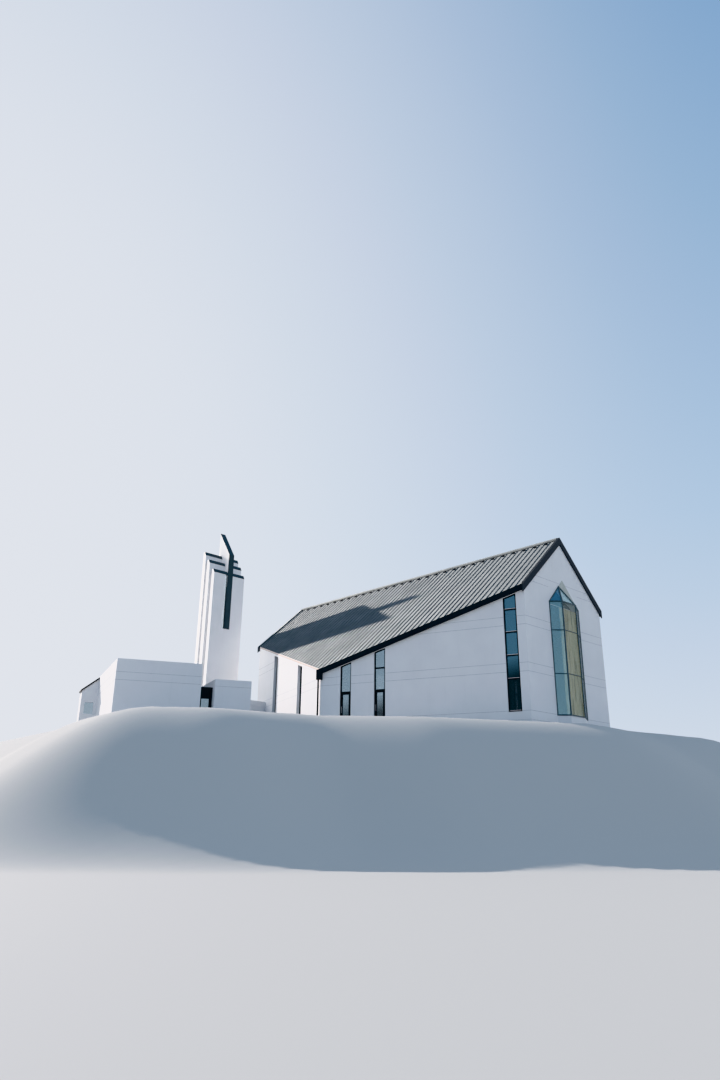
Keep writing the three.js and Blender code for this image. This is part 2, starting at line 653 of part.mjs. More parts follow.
// The low hall runs from its short front block to the nave wall and the tower.
function addLowHall() {
  const wallX = (y) => -KNEE_HALF + (KNEE_HALF - GABLE_HALF) * (y - KNEE_Y) / (REAR - KNEE_Y);
  const clear = 2 * SEAT;
  const outline = orient([
    wing(HALL_LEFT, 0), wing(HALL_RIGHT, 0), wing(HALL_RIGHT, HALL_BEND),
    [wallX(LINK_FRONT) - clear, LINK_FRONT], [-GABLE_HALF - clear, REAR],
    [TOWER_RIGHT, TOWER_FRONT - SEAT], [TOWER_SLABS[0].left, TOWER_FRONT - SEAT],
    wing(MEETING_LENGTH + SEAT, MEETING_DEPTH - CUT),
    wing(MEETING_LENGTH + SEAT, PORCH_DEPTH), wing(HALL_LEFT, PORCH_DEPTH),
  ]);
  const porchDoorway = wingBox(MEETING_LENGTH + PORCH_DOOR_JAMB, HALL_LEFT - PORCH_DOOR_JAMB,
    PORCH_DEPTH - CUT, PORCH_DEPTH + WING_WALL + CUT, FLOOR, FLOOR + INNER_DOOR_HEIGHT);
  const walls = ring(outline, WING_WALL, HALL_TOP).subtract(porchDoorway).subtract(linkDoorway());
  addPiece('low_hall_walls', walls, 'white_concrete');
  const inner = inset(outline, WING_WALL + SEAT);
  addPiece('low_hall_floor', prism(inner, FLOOR - FLOOR_DEPTH, FLOOR), 'floor_concrete');
  addPiece('low_hall_roof', prism(inner, HALL_TOP - PARAPET - DECK, HALL_TOP - PARAPET), 'roof_metal');
}

function addPorch() {
  const left = MEETING_LENGTH + SEAT;
  const right = HALL_LEFT - SEAT;
  const end = PORCH_DEPTH - SEAT;
  addPiece('porch_floor', wingBox(left, right, 0, end, FLOOR - FLOOR_DEPTH, FLOOR), 'floor_concrete');
  addPiece('porch_roof', wingBox(left, right, PORCH_RECESS + PORCH_FRAME_DEPTH + SEAT, end,
    PORCH_TOP - DECK, PORCH_TOP), 'roof_metal');
  addPiece('porch_fascia', wingBox(left, right, PORCH_RECESS, PORCH_RECESS + PORCH_FRAME_DEPTH,
    PORCH_HEAD + SEAT, PORCH_TOP), 'dark_frame');
  const frame = wingBox(left, right, PORCH_RECESS, PORCH_RECESS + PORCH_FRAME_DEPTH, FLOOR + SEAT, PORCH_HEAD)
    .subtract(PORCH.box(left + PORCH_STILE, right - PORCH_STILE, -CUT, PORCH_DEPTH, 0,
      PORCH_HEAD - PORCH_RAIL));
  const foot = FLOOR + DOOR_GAP;
  const top = PORCH_HEAD - PORCH_RAIL - DOOR_GAP;
  const pair = hinges(PORCH, right - PORCH_STILE - DOOR_GAP / 2, 0, foot, top, -1);
  addPiece('entrance_frame', frame.add(pair.frameSide), 'dark_frame');
  const door = leaf(PORCH, left + PORCH_STILE + DOOR_GAP, right - PORCH_STILE - DOOR_GAP, 0, foot, top);
  addPiece('entrance_door', door.add(pair.leafSide), 'dark_frame');
}

// The space under the lean-to's roof line, over its plan spread by the eaves and up to a right edge.
function underLeanTo(rise, eaves, right, foot) {
  const drop = (LEAN_HIGH - LEAN_LOW) / LEAN_WIDTH;
  const left = -LEAN_WIDTH - eaves;
  const front = LEAN_START - eaves;
  const back = LEAN_START + LEAN_DEPTH + eaves;
  const corners = [[left, front], [right, front], [right, back], [left, back]];
  return hull(corners.flatMap(([along, depth]) => [
    [...wing(along, depth), foot], [...wing(along, depth), LEAN_HIGH + drop * along + rise],
  ]));
}

// The lean-to against the end wall, with its sloping roof falling away from the wing.
function addLeanTo() {
  const shell = wingBox(-LEAN_WIDTH, -SEAT, LEAN_START, LEAN_START + LEAN_DEPTH, 0, LEAN_HIGH);
  const hollow = wingBox(-LEAN_WIDTH + LEAN_WALL, CUT, LEAN_START + LEAN_WALL,
    LEAN_START + LEAN_DEPTH - LEAN_WALL, -CUT, FAR);
  const { near, far, sill, head, setback, depth } = LEAN_WINDOW;
  const hole = wingBox(near - LEAN_WIDTH, far - LEAN_WIDTH, LEAN_START - CUT, LEAN_START + LEAN_WALL + CUT,
    sill, head);
  const walls = shell.subtract(hollow).subtract(hole).intersect(underLeanTo(0, 0, 0, -CUT));
  addPiece('lean_to_walls', walls, 'white_concrete');
  addPiece('lean_to_window', wingBox(near - LEAN_WIDTH + SEAT, far - LEAN_WIDTH - SEAT, LEAN_START + setback,
    LEAN_START + setback + depth, sill + SEAT, head - SEAT), 'window_glass');
  const roof = underLeanTo(LEAN_ROOF, LEAN_EAVES, -SEAT, 0)
    .subtract(underLeanTo(SEAT, LEAN_EAVES + CUT, CUT, -CUT));
  addPiece('lean_to_roof', roof, 'black_metal');
}

// The tower

// The sloping line over a slab's front, at a distance behind the front face: its foot and its head.
function armLean(slab, behind) {
  const front = TOWER_FRONT + slab.start + behind;
  return [[front, slab.top], [front + ARM_LEAN, slab.top + ARM_RISE]];
}

// Three upright slabs, each higher than the one in front, with recessed joints between them and a slot at
// the top that takes the fin.
function addTowerSlabs() {
  const slot = block(FIN_LEFT - SEAT, FIN_RIGHT + SEAT, TOWER_FRONT - CUT, TOWER_FRONT + FAR, FIN_FOOT, FAR);
  for (const [index, slab] of TOWER_SLABS.entries()) {
    const front = TOWER_FRONT + slab.start;
    const lean = armLean(slab, CROSS_SKIN - ARM_PROUD + SEAT);
    const back = front + slab.depth;
    const outline = [[front, 0], [front, slab.top], ...lean, [back, slab.top + ARM_RISE], [back, 0]];
    let solid = crossways(outline, slab.left, TOWER_RIGHT);
    if (index === 0) {
      const crossSlot = block(STRIP_LEFT - SEAT, FIN_RIGHT + SEAT, front - CUT, back + CUT, CROSS_FOOT, FAR);
      solid = solid.subtract(crossSlot);
    } else {
      const last = TOWER_SLABS[index - 1];
      const joint = TOWER_FRONT + last.start + last.depth + SEAT;
      solid = solid.add(block(last.left + GROOVE_INSET, TOWER_RIGHT - GROOVE_INSET, joint, front + 1, 0,
        last.top - GROOVE_INSET));
    }
    addPiece(slab.name, solid.subtract(slot), 'white_concrete');
  }
}

// The fin is an upright plate whose front and sloping top edges are clad in dark metal. The cladding and
// the arm over the front slab make a cross.
function addCross() {
  const frontY = TOWER_FRONT - CROSS_PROUD;
  const backY = TOWER_FRONT + FIN_BACK;
  const inner = TOWER_FRONT + CROSS_SKIN;
  const slope = (FIN_TIP_Z - FIN_FRONT_Z) / (backY - frontY);
  const edge = (y, drop) => FIN_FRONT_Z + slope * (y - frontY) - drop;
  const skin = crossways([
    [frontY, CROSS_FOOT + SEAT], [inner, CROSS_FOOT + SEAT], [inner, edge(inner, CROSS_SKIN)],
    [backY, edge(backY, CROSS_SKIN)], [backY, edge(backY, 0)], [frontY, edge(frontY, 0)],
  ], FIN_LEFT, FIN_RIGHT);
  let fin = crossways([
    [inner + SEAT, FIN_FOOT + SEAT], [backY, FIN_FOOT + SEAT], [backY, edge(backY, CROSS_SKIN + SEAT)],
    [inner + SEAT, edge(inner + SEAT, CROSS_SKIN + SEAT)],
  ], FIN_LEFT, FIN_RIGHT);
  const strip = block(STRIP_LEFT, FIN_LEFT - SEAT, TOWER_FRONT + STRIP_SETBACK,
    TOWER_FRONT + STRIP_SETBACK + STRIP_GLASS, CROSS_FOOT + SEAT, TOWER_SLABS[0].top);
  addPiece('cross_glass', strip, 'window_glass');
  for (const [index, slab] of TOWER_SLABS.entries()) {
    const arm = (grow) => {
      const [foot, head] = armLean(slab, -ARM_PROUD - grow);
      const [backFoot, backHead] = armLean(slab, CROSS_SKIN - ARM_PROUD + grow);
      const low = slab.top + SEAT - grow;
      const high = slab.top + ARM_RISE + grow;
      return crossways([
        [foot[0], low], [backFoot[0], low], [backHead[0], high], [head[0], high],
      ], slab.left, TOWER_RIGHT);
    };
    if (index === 0) {
      const behindSkin = block(FIN_LEFT - SEAT, FIN_RIGHT + SEAT, inner, TOWER_FRONT + FAR, 0, FAR);
      addPiece('tower_cross', skin.add(arm(0).subtract(behindSkin)), 'dark_frame');
    } else {
      addPiece(slab.arm, arm(0), 'dark_frame');
      fin = fin.subtract(arm(SEAT));
    }
  }
  addPiece('tower_fin', fin, 'white_concrete');
}

addNaveShell();
addNaveRoof();
addRainwater();
addNaveWindows();
addSideDoors();
addBay();
addCurtain();
addMeetingBlock();
addLowHall();
addPorch();
addLeanTo();
addTowerSlabs();
addCross();

export default building;
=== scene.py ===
"""Dresses a modern church: painted concrete walls with formwork joints, a seamed metal roof, glazed strips,
hinged glass doors, a folded glass bay, a low wing with its porch, and a slab tower with a fin and a cross.

Metres, +Z up. The ridge runs along +Y and the front gable looks along -Y.
"""

import json
import logging
import math
from collections.abc import Callable, Sequence
from dataclasses import dataclass, field
from enum import Enum

import bmesh
import bpy
import numpy as np
from mathutils import Matrix, Vector

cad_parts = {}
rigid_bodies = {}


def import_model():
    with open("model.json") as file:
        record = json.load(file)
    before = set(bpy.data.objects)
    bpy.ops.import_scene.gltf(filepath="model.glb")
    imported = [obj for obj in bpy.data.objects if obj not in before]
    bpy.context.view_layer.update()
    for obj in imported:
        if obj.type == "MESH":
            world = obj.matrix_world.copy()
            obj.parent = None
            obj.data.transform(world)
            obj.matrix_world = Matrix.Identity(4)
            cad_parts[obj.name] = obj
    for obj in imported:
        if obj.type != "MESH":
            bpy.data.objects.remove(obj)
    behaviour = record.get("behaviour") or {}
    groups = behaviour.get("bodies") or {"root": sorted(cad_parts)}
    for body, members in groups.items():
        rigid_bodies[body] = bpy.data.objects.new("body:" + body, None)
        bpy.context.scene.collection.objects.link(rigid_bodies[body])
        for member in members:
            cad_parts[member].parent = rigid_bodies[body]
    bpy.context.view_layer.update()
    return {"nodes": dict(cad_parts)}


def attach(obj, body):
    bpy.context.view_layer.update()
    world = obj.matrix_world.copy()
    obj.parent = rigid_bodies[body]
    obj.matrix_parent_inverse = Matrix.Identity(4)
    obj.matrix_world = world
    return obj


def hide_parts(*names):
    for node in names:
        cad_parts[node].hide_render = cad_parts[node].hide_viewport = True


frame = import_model()
LOG = logging.getLogger("church")

BUILDING = "building"

# A hair's breadth that keeps seated faces apart
SEAT = 0.0003

# Levels above the ground
FLOOR = 0.7
DOOR_HEAD = 2.89

# Nave plan and roof
GABLE_HALF = 4.6
KNEE_HALF = 9.42
NAVE_LENGTH = 27.6
WALL = 0.4
FRONT = -WALL / 2
REAR = FRONT + NAVE_LENGTH
KNEE_Y = FRONT + NAVE_LENGTH / 2
RIDGE_UNDER = 12.83
ROOF_SLOPE = 0.904
ROOF_RISE = 0.3
ROOF_OVERHANG = 0.03
RIDGE_CAP_HALF = 0.13
RIDGE_CAP_RISE = 0.15
# Top of the black strips under the ridge cap; their dark colour also paints the gap's shade
RIDGE_CLOSURE_SHADE_RISE = 0.05
VERGE_COVER = 0.11

# Openings in the side walls, as distances along the wall, with the depths and face of their frames
FRONT_WINDOW = (0.55, 1.4)
FRONT_SILL = 1.02
MIDDLE_DOORWAY = (9.68, 10.5)
REAR_DOORWAY = (12.24, 13.07)
KNEE_SLOT = (3.78, 4.72)
REAR_SLOT = (9.57, 10.44)
FRAME_SETBACK = 0.07
SLOT_SETBACK = 0.22
FRAME_FACE = 0.07

# Gap round a door leaf
LEAF_GAP = 0.01

# Glass bay in the front gable
BAY_HALF = 1.75
BAY_SILL = 1.0
BAY_CAP = 8.38
BAY_PEAK = 9.63

# Formwork joints, in pairs up the wall
NAVE_JOINTS = (0.528, 1.066, 3.437, 3.97, 6.374, 6.917, 9.36, 9.84)
BLOCK_JOINTS = NAVE_JOINTS[:4]
HALL_JOINTS = (0.528, 1.066, 3.39)
JOINT_HALF = 0.009
JOINT_PROUD = 0.002

# Camera, fitted to the edges of the nave
EYE = (-44.426, -26.972, -5.183)
HEADING = 43.598
TILT = 19.907
ROLL = 0.627
LENS = 25.68

Point = tuple[float, float]
Triple = tuple[float, float, float]
Height = float | Callable[[float], float]
Tree = bpy.types.NodeTree
Socket = bpy.types.NodeSocket
Piece = bpy.types.Object


# Finishes


def linear(code: str) -> tuple[float, float, float, float]:
    """Turns an sRGB hex colour to linear.

    Args:
        code: Six hex digits, with or without a leading hash.

    Returns:
        Red, green, blue and an alpha of one.
    """
    digits = code.lstrip("#")
    channels = [int(digits[i : i + 2], 16) / 255 for i in (0, 2, 4)]
    red, green, blue = (c / 12.92 if c <= 0.04045 else ((c + 0.055) / 1.055) ** 2.4 for c in channels)
    return (red, green, blue, 1.0)


def add_node(
    tree: Tree,
    kind: str,
    settings: dict[str, object] | None = None,
    inputs: dict[int | str, object] | None = None,
) -> bpy.types.Node:
    """Adds a node with its settings and inputs.

    Args:
        tree: The shader or geometry tree.
        kind: The node's type name.
        settings: Attributes of the node.
        inputs: What its inputs take, by name or index: a socket that feeds one, or a value.

    Returns:
        The new node.
    """
    node = tree.nodes.new(kind)
    for name, value in (settings or {}).items():
        setattr(node, name, value)
    for name, value in (inputs or {}).items():
        if isinstance(value, Socket):
            tree.links.new(value, node.inputs[name])
        else:
            node.inputs[name].default_value = value
    return node


def math_node(tree: Tree, operation: str, *operands: object, clamp: bool = False) -> Socket:
    """Adds a sum, product or other operation of sockets and numbers.

    Args:
        tree: The shader or geometry tree.
        operation: The operation's name.
        operands: Sockets or numbers.
        clamp: True to keep the result between 0 and 1.

    Returns:
        The result.
    """
    settings = {"operation": operation, "use_clamp": clamp}
    return add_node(tree, "ShaderNodeMath", settings, dict(enumerate(operands))).outputs[0]


def new_shader(name: str, constants: dict[str, object]) -> tuple[bpy.types.Material, Tree, bpy.types.Node]:
    """Starts a material.

    Args:
        name: The material's name.
        constants: Values on the surface shader's own sockets.

    Returns:
        The material, its tree and its surface shader.
    """
    material = bpy.data.materials.new(name)
    material.use_nodes = True
    tree = material.node_tree
    tree.nodes.clear()
    shader = add_node(tree, "ShaderNodeBsdfPrincipled", inputs=constants)
    add_node(tree, "ShaderNodeOutputMaterial", inputs={"Surface": shader.outputs[0]})
    return material, tree, shader


def stretched(tree: Tree, size: Triple) -> Socket:
    """Gives object coordinates divided by a pattern's size along each axis.

    Args:
        tree: The shader tree.
        size: The pattern's size in metres along X, Y and Z.

    Returns:
        A vector socket.
    """
    place = add_node(tree, "ShaderNodeTexCoord").outputs["Object"]
    scale = tuple(1.0 / s for s in size)
    return add_node(tree, "ShaderNodeMapping", inputs={"Scale": scale, "Vector": place}).outputs[0]


def noise(tree: Tree, size: Triple, detail: float, roughness: float = 0.5) -> Socket:
    """Adds a cloudy pattern.

    Args:
        tree: The shader tree.
        size: The clouds' size in metres along X, Y and Z.
        detail: How many finer layers it has.
        roughness: How strong the finer layers are.

    Returns:
        A value socket.
    """
    inputs = {"Vector": stretched(tree, size), "Scale": 1.0, "Detail": detail, "Roughness": roughness}
    return add_node(tree, "ShaderNodeTexNoise", inputs=inputs).outputs[0]


def relief(tree: Tree, shader: bpy.types.Node, height: Socket, strength: float, distance: float) -> None:
    """Gives a surface a fine relief.

    Args:
        tree: The shader tree.
        shader: The surface shader.
        height: The pattern that raises it.
        strength: Share of the relief that shows.
        distance: Its height in metres.
    """
    inputs = {"Strength": strength, "Distance": distance, "Height": height}
    tree.links.new(add_node(tree, "ShaderNodeBump", inputs=inputs).outputs[0], shader.inputs["Normal"])


def blend_colours(tree: Tree, factor: Socket, low: str | Socket, high: str | Socket) -> Socket:
    """Mixes two colours by a factor.

    Args:
        tree: The shader tree.
        factor: From 0 for the low colour to 1 for the high one.
        low: Hex colour or colour socket.
        high: Hex colour or colour socket.

    Returns:
        A colour socket.
    """
    first, second = (linear(c) if isinstance(c, str) else c for c in (low, high))
    inputs = {0: factor, 6: first, 7: second}
    return add_node(tree, "ShaderNodeMix", {"data_type": "RGBA"}, inputs).outputs[2]


def remapped(tree: Tree, value: Socket, lows: Point, highs: Point, way: str = "LINEAR") -> Socket:
    """Maps a value from one range to another.

    Args:
        tree: The shader tree.
        value: The value.
        lows: The range it comes from.
        highs: The range it goes to.
        way: LINEAR, or SMOOTHSTEP for soft ends.

    Returns:
        A value socket.
    """
    inputs = dict(enumerate((value, *lows, *highs)))
    return add_node(tree, "ShaderNodeMapRange", {"interpolation_type": way}, inputs).outputs[0]


def share_towards(tree: Tree, way: Socket, direction: Sequence[float]) -> Socket:
    """Gives how far a way leads in a direction."""
    inputs = {0: way, 1: direction}
    return add_node(tree, "ShaderNodeVectorMath", {"operation": "DOT_PRODUCT"}, inputs).outputs["Value"]


@dataclass(frozen=True)
class PaintedConcrete:
    """Cast concrete under thick masonry paint, rolled on."""

    name: str = "painted_concrete"
    clean: str = "#e6e6e7"
    worn: str = "#d6d7d8"
    patch: float = 1.9
    streak: Triple = (0.24, 0.24, 3.4)
    splash_height: float = 0.9
    roller_grain: float = 0.006

    def material(self) -> bpy.types.Material:
        """Builds it: matt white with faint rain streaks, soft patches and a darker splash zone."""
        material, tree, shader = new_shader(self.name, {"IOR": 1.5})
        patches = noise(tree, (self.patch,) * 3, 3.0, 0.55)
        place = add_node(tree, "ShaderNodeTexCoord").outputs["Object"]
        height = add_node(tree, "ShaderNodeSeparateXYZ", inputs={0: place}).outputs[2]
        splash = remapped(tree, height, (0.0, self.splash_height), (0.55, 0.0))
        soft = remapped(tree, patches, (0.35, 0.7), (0.0, 0.3))
        runs = remapped(tree, noise(tree, self.streak, 4.0, 0.6), (0.55, 0.8), (0.0, 0.22))
        wear = math_node(tree, "ADD", math_node(tree, "ADD", soft, runs), splash, clamp=True)
        tree.links.new(blend_colours(tree, wear, self.clean, self.worn), shader.inputs["Base Color"])
        relief(tree, shader, noise(tree, (self.roller_grain,) * 3, 2.0), 0.25, 0.001)
        tree.links.new(remapped(tree, patches, (0.3, 0.7), (0.78, 0.9)), shader.inputs["Roughness"])
        return material


@dataclass(frozen=True)
class CoatedSheet:
    """Folded steel or zinc sheet with a factory coat, for the roof, verges, gutters and frames."""

    name: str
    clean: str
    worn: str
    metallic: float
    roughness: Point
    patch: float = 0.9
    ripple: float = 0.0
    refraction: float = 1.5

    def material(self) -> bpy.types.Material:
        """Builds it: satin, with cloudy wear in colour and gloss and slight waves between folds."""
        material, tree, shader = new_shader(self.name, {"Metallic": self.metallic, "IOR": self.refraction})
        clouds = noise(tree, (self.patch,) * 3, 5.0, 0.6)
        wear = remapped(tree, clouds, (0.35, 0.7), (0.0, 1.0))
        tree.links.new(blend_colours(tree, wear, self.clean, self.worn), shader.inputs["Base Color"])
        tree.links.new(remapped(tree, clouds, (0.3, 0.7), self.roughness), shader.inputs["Roughness"])
        if self.ripple:
            relief(tree, shader, noise(tree, (0.5, 0.25, 0.5), 1.0), 0.5, self.ripple)
        return material


@dataclass(frozen=True)
class WindowGlass:
    """Sealed double glazing, float glass with a thin mirror coat against the sun.

    Attributes:
        name: The material's name.
        mirror: Colour of the mirror coat.
        cover: Share of the light that the coat keeps from passing straight through.
    """

    name: str
    mirror: str
    cover: float

    def material(self) -> bpy.types.Material:
        """Builds it: see-through, with a blue mirror of the sky and the slight waves of float."""
        constants = {"Base Color": linear(self.mirror), "Alpha": self.cover}
        material, tree, shader = new_shader(self.name, {**constants, "Metallic": 1.0, "Roughness": 0.03})
        relief(tree, shader, noise(tree, (0.9, 0.9, 1.4), 0.0), 0.06, 0.01)
        return material


@dataclass(frozen=True)
class WovenCloth:
    """Heavy woven curtain cloth."""

    name: str = "woven_curtain"
    warp: str = "#e4d8b4"
    weft: str = "#c3b382"
    # Colour of the painted shade in the folds
    fold_shade: str = "#7d6a3e"
    thread: float = 0.0022

    def material(self) -> bpy.types.Material:
        """Builds it: a beige weave with fine threads, soft sheen and uneven dye, with browner vertical
        streaks of painted shade that stand for shaded folds.
        """
        material, tree, shader = new_shader(self.name, {"Roughness": 0.85, "Sheen Weight": 0.2})
        threads = {"Scale": 0.5, "Distortion": 0.4, "Vector": stretched(tree, (self.thread,) * 3)}
        ways = ({"wave_type": "BANDS", "bands_direction": way} for way in ("X", "Z"))
        bands = (add_node(tree, "ShaderNodeTexWave", way, threads).outputs[1] for way in ways)
        weave = math_node(tree, "MULTIPLY", *bands)
        tone = math_node(tree, "MULTIPLY_ADD", weave, 0.4, noise(tree, (0.12, 0.12, 0.7), 3.0))
        dyed = blend_colours(tree, remapped(tree, tone, (0.3, 0.9), (0.0, 1.0)), self.weft, self.warp)
        # Painted shade: browner vertical streaks, not tied to the pleats, stand for the shade in the folds
        painted_fold_shade = remapped(tree, noise(tree, (0.11, 1.0, 2.8), 2.0), (0.53, 0.63), (0.0, 0.7))
        tree.links.new(blend_colours(tree, painted_fold_shade, dyed, self.fold_shade), shader.inputs["Base Color"])
        relief(tree, shader, weave, 0.4, 0.0006)
        return material


class Finish(Enum):
    """The finishes of the church, each made once."""

    CONCRETE = PaintedConcrete()
    JOINT = CoatedSheet("joint_filler", "#b4b7bb", "#a3a7ad", 0.0, (0.8, 0.9), patch=0.4)
    ROOF = CoatedSheet("coated_roof_sheet", "#7f8688", "#70787b", 0.8, (0.7, 0.82), patch=1.6, ripple=0.004)
    SEAM = CoatedSheet("coated_seam_fold", "#868c8e", "#787e81", 0.8, (0.7, 0.82), patch=0.7)
    BLACK = CoatedSheet("black_coated_sheet", "#181b1e", "#212528", 0.0, (0.6, 0.75), refraction=1.3)
    GRAPHITE = CoatedSheet("graphite_coated_sheet", "#2b3136", "#353b40", 0.0, (0.55, 0.7), refraction=1.35)
    FRAMES = CoatedSheet("dark_powder_coat", "#14110e", "#1e1a17", 0.0, (0.45, 0.6), 0.5, refraction=1.35)
    BAY_BARS = CoatedSheet("grey_teal_powder_coat", "#475a61", "#53666c", 0.0, (0.4, 0.55), patch=0.6)
    TEAL = CoatedSheet("teal_powder_coat", "#2a3a40", "#34464c", 0.0, (0.4, 0.55), 0.6, refraction=1.4)
    FLASHING = CoatedSheet("galvanised_flashing", "#d8cdc9", "#c6bbb7", 0.1, (0.5, 0.65), patch=0.3)
    INFILL = CoatedSheet("grey_green_sheet", "#b9beb8", "#a9afa9", 0.1, (0.5, 0.65), patch=0.3)
    # Red-brown drip whose dark colour also paints the thin shadow line under the eave flashing
    BRONZE = CoatedSheet("bronze_drip", "#7a4636", "#5f3a30", 0.6, (0.4, 0.55), patch=0.3)
    GLAZING = WindowGlass("strip_glazing", "#7799a7", 0.6)
    GREY_GLAZING = WindowGlass("grey_glazing", "#bfcdd2", 0.55)
    BAY_GLAZING = WindowGlass("bay_glazing", "#b4c6c6", 0.1)
    BAY_MIRROR = WindowGlass("bay_mirror_glazing", "#b0d3da", 0.33)
    PALE_GLAZING = WindowGlass("pale_glazing", "#ccd5d8", 0.7)
    CURTAIN = WovenCloth()
    SCREED = CoatedSheet("smooth_screed", "#a3a29d", "#8f8e89", 0.0, (0.6, 0.75), patch=1.2)

    def material(self) -> bpy.types.Material:
        """Gives the finish's material, made at its first use."""
        return bpy.data.materials.get(self.value.name) or self.value.material()


# The CAD nodes that stay, by their finish
DRESSED = {
    Finish.CONCRETE: (
        "front_gable", "rear_gable", "front_left_wall", "front_right_wall", "rear_left_wall",
        "rear_right_wall", "meeting_block_walls", "low_hall_walls", "lean_to_walls", "tower_front_slab",
        "tower_middle_slab", "tower_back_slab", "tower_fin",
    ),
    Finish.ROOF: (
        "roof_left_slope", "roof_right_slope", "rear_verge", "meeting_block_roof", "low_hall_roof",
        "porch_roof",
    ),
    Finish.BLACK: ("left_gutter", "left_downpipe", "right_gutter", "right_downpipe", "lean_to_roof"),
    Finish.GRAPHITE: ("front_verge",),
    Finish.SCREED: ("nave_floor", "meeting_block_floor", "low_hall_floor", "porch_floor"),
    Finish.BAY_BARS: ("bay_frame",),
    Finish.INFILL: ("bay_head_panel",),
    Finish.FLASHING: ("curtain_rail",),
    Finish.FRAMES: ("porch_fascia", "entrance_frame"),
    Finish.TEAL: ("tower_cross", "middle_arm", "back_arm"),
    Finish.PALE_GLAZING: ("lean_to_window", "cross_glass"),
}


def dress() -> None:
    """Gives the CAD nodes that stay their finishes."""
    for finish, nodes in DRESSED.items():
        for node in nodes:
            slots = frame["nodes"][node].data.materials
            slots.clear()
            slots.append(finish.material())
            LOG.info("%s: %s", node, finish.value.name)


# Meshes


def closed_mesh(
    name: str, vertices: Sequence[Sequence[float]], faces: Sequence[Sequence[int]], smooth: bool = False
) -> bpy.types.Mesh:
    """Makes a closed mesh with its faces turned outwards.

    Args:
        name: Its name.
        vertices: Its points.
        faces: Point numbers of each face.
        smooth: True to shade it smooth.

    Returns:
        The mesh.
    """
    mesh = bpy.data.meshes.new(name)
    mesh.from_pydata(vertices, [], faces)
    if smooth:
        mesh.shade_smooth()
    work = bmesh.new()
    work.from_mesh(mesh)
    bmesh.ops.recalc_face_normals(work, faces=work.faces)
    work.to_mesh(mesh)
    work.free()
    return mesh


def placed(
    mesh: bpy.types.Mesh, finish: Finish, node: str | None = None, body: str = BUILDING
) -> Piece:
    """Links a mesh as a piece that rides on a body.

    Args:
        mesh: The finished mesh, in place and under the piece's name.
        finish: Its finish.
        node: The CAD node that it replaces.
        body: The body that it moves with.

    Returns:
        The new object.
    """
    if not mesh.materials:
        mesh.materials.append(finish.material())
    piece = bpy.data.objects.new(mesh.name, mesh)
    bpy.context.scene.collection.objects.link(piece)
    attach(piece, body)
    if node:
        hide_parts(node)
    LOG.info("%s: %d faces on %s", piece.name, len(mesh.polygons), body)
    return piece


@dataclass
class Shell:
    """A mesh in the making: closed prisms that share one piece."""

    vertices: list[Vector] = field(default_factory=list)
    faces: list[tuple[int, ...]] = field(default_factory=list)

    def prism(self, near: Sequence[Sequence[float]], far: Sequence[Sequence[float]]) -> None:
        """Adds a closed prism.

        Args:
            near: The points of one end, in order.
            far: The matching points of the other end.
        """
        start, count = len(self.vertices), len(near)
        self.vertices += [Vector(p) for p in (*near, *far)]
        self.faces.append(tuple(start + i for i in reversed(range(count))))
        self.faces.append(tuple(start + count + i for i in range(count)))
        for i in range(count):
            j = (i + 1) % count
            self.faces.append((start + i, start + j, start + count + j, start + count + i))

    def rod(self, low: Sequence[float], high: Sequence[float], radius: float, sides: int = 12) -> None:
        """Adds a round bar.

        Args:
            low: The middle of one end.
            high: The middle of the other end.
            radius: Its radius.
            sides: How many faces go round it.
        """
        a, b = Vector(low), Vector(high)
        turn = (b - a).to_track_quat("Z", "Y")
        angles = [2 * math.pi * i / sides for i in range(sides)]
        ring = [turn @ Vector((math.cos(t) * radius, math.sin(t) * radius, 0.0)) for t in angles]
        self.prism([a + p for p in ring], [b + p for p in ring])

    def finished(
        self, name: str, finish: Finish, slot: str, node: str | None = None, body: str = BUILDING
    ) -> Piece:
        """Turns it into a piece.

        Args:
            name: The piece's name.
            finish: Its finish.
            slot: Not used.
            node: The CAD node that it replaces.
            body: The body that it moves with.

        Returns:
            The new object.
        """
        return placed(closed_mesh(name, self.vertices, self.faces), finish, node, body)


def below_roof(drop: float) -> Callable[[float], float]:
    """Gives a height that follows the roof's underside at a drop below it."""
    return lambda x: RIDGE_UNDER - ROOF_SLOPE * abs(x) - drop


@dataclass(frozen=True)
class WallFace:
    """A wall's outer face, with distances along it from its start corner and depths in from its face.

    Attributes:
        start: Plan point where it starts.
        end: Plan point where it ends.
        inner_side: 1 where the inside lies on the right of the wall's direction, -1 on the left.
        mirrored: True for the same wall on the building's other side.
    """

    start: Point
    end: Point
    inner_side: int = 1
    mirrored: bool = False

    @property
    def length(self) -> float:
        """Length of the wall."""
        return math.dist(self.start, self.end)

    def point(self, along: float, depth: float, height: Height) -> Vector:
        """Gives a point of the wall; a height that is a function takes the distance from the ridge."""
        ax, ay = ((e - s) / self.length for s, e in zip(self.start, self.end))
        nx, ny = ay * self.inner_side, -ax * self.inner_side
        x = self.start[0] + ax * along + nx * depth
        y = self.start[1] + ay * along + ny * depth
        x = -x if self.mirrored else x
        return Vector((x, y, height(x) if callable(height) else height))

    def block(self, shell: Shell, ends: Point, levels: tuple[Height, Height], depths: Point) -> None:
        """Adds a bar, a pane or a board on the wall.

        Args:
            shell: The mesh that it joins.
            ends: Where it starts and ends along the wall.
            levels: Its foot and its top.
            depths: Its outer and inner depth.
        """
        (a, b), (low, high) = ends, levels
        outline = ((a, low), (b, low), (b, high), (a, high))
        shell.prism(*([self.point(s, d, z) for s, z in outline] for d in depths))

    def joint(self, shell: Shell, ends: Point, height: float) -> None:
        """Adds a thin filled joint along the wall."""
        self.block(shell, ends, (height - JOINT_HALF, height + JOINT_HALF), (-JOINT_PROUD, -SEAT / 2))


# The nave


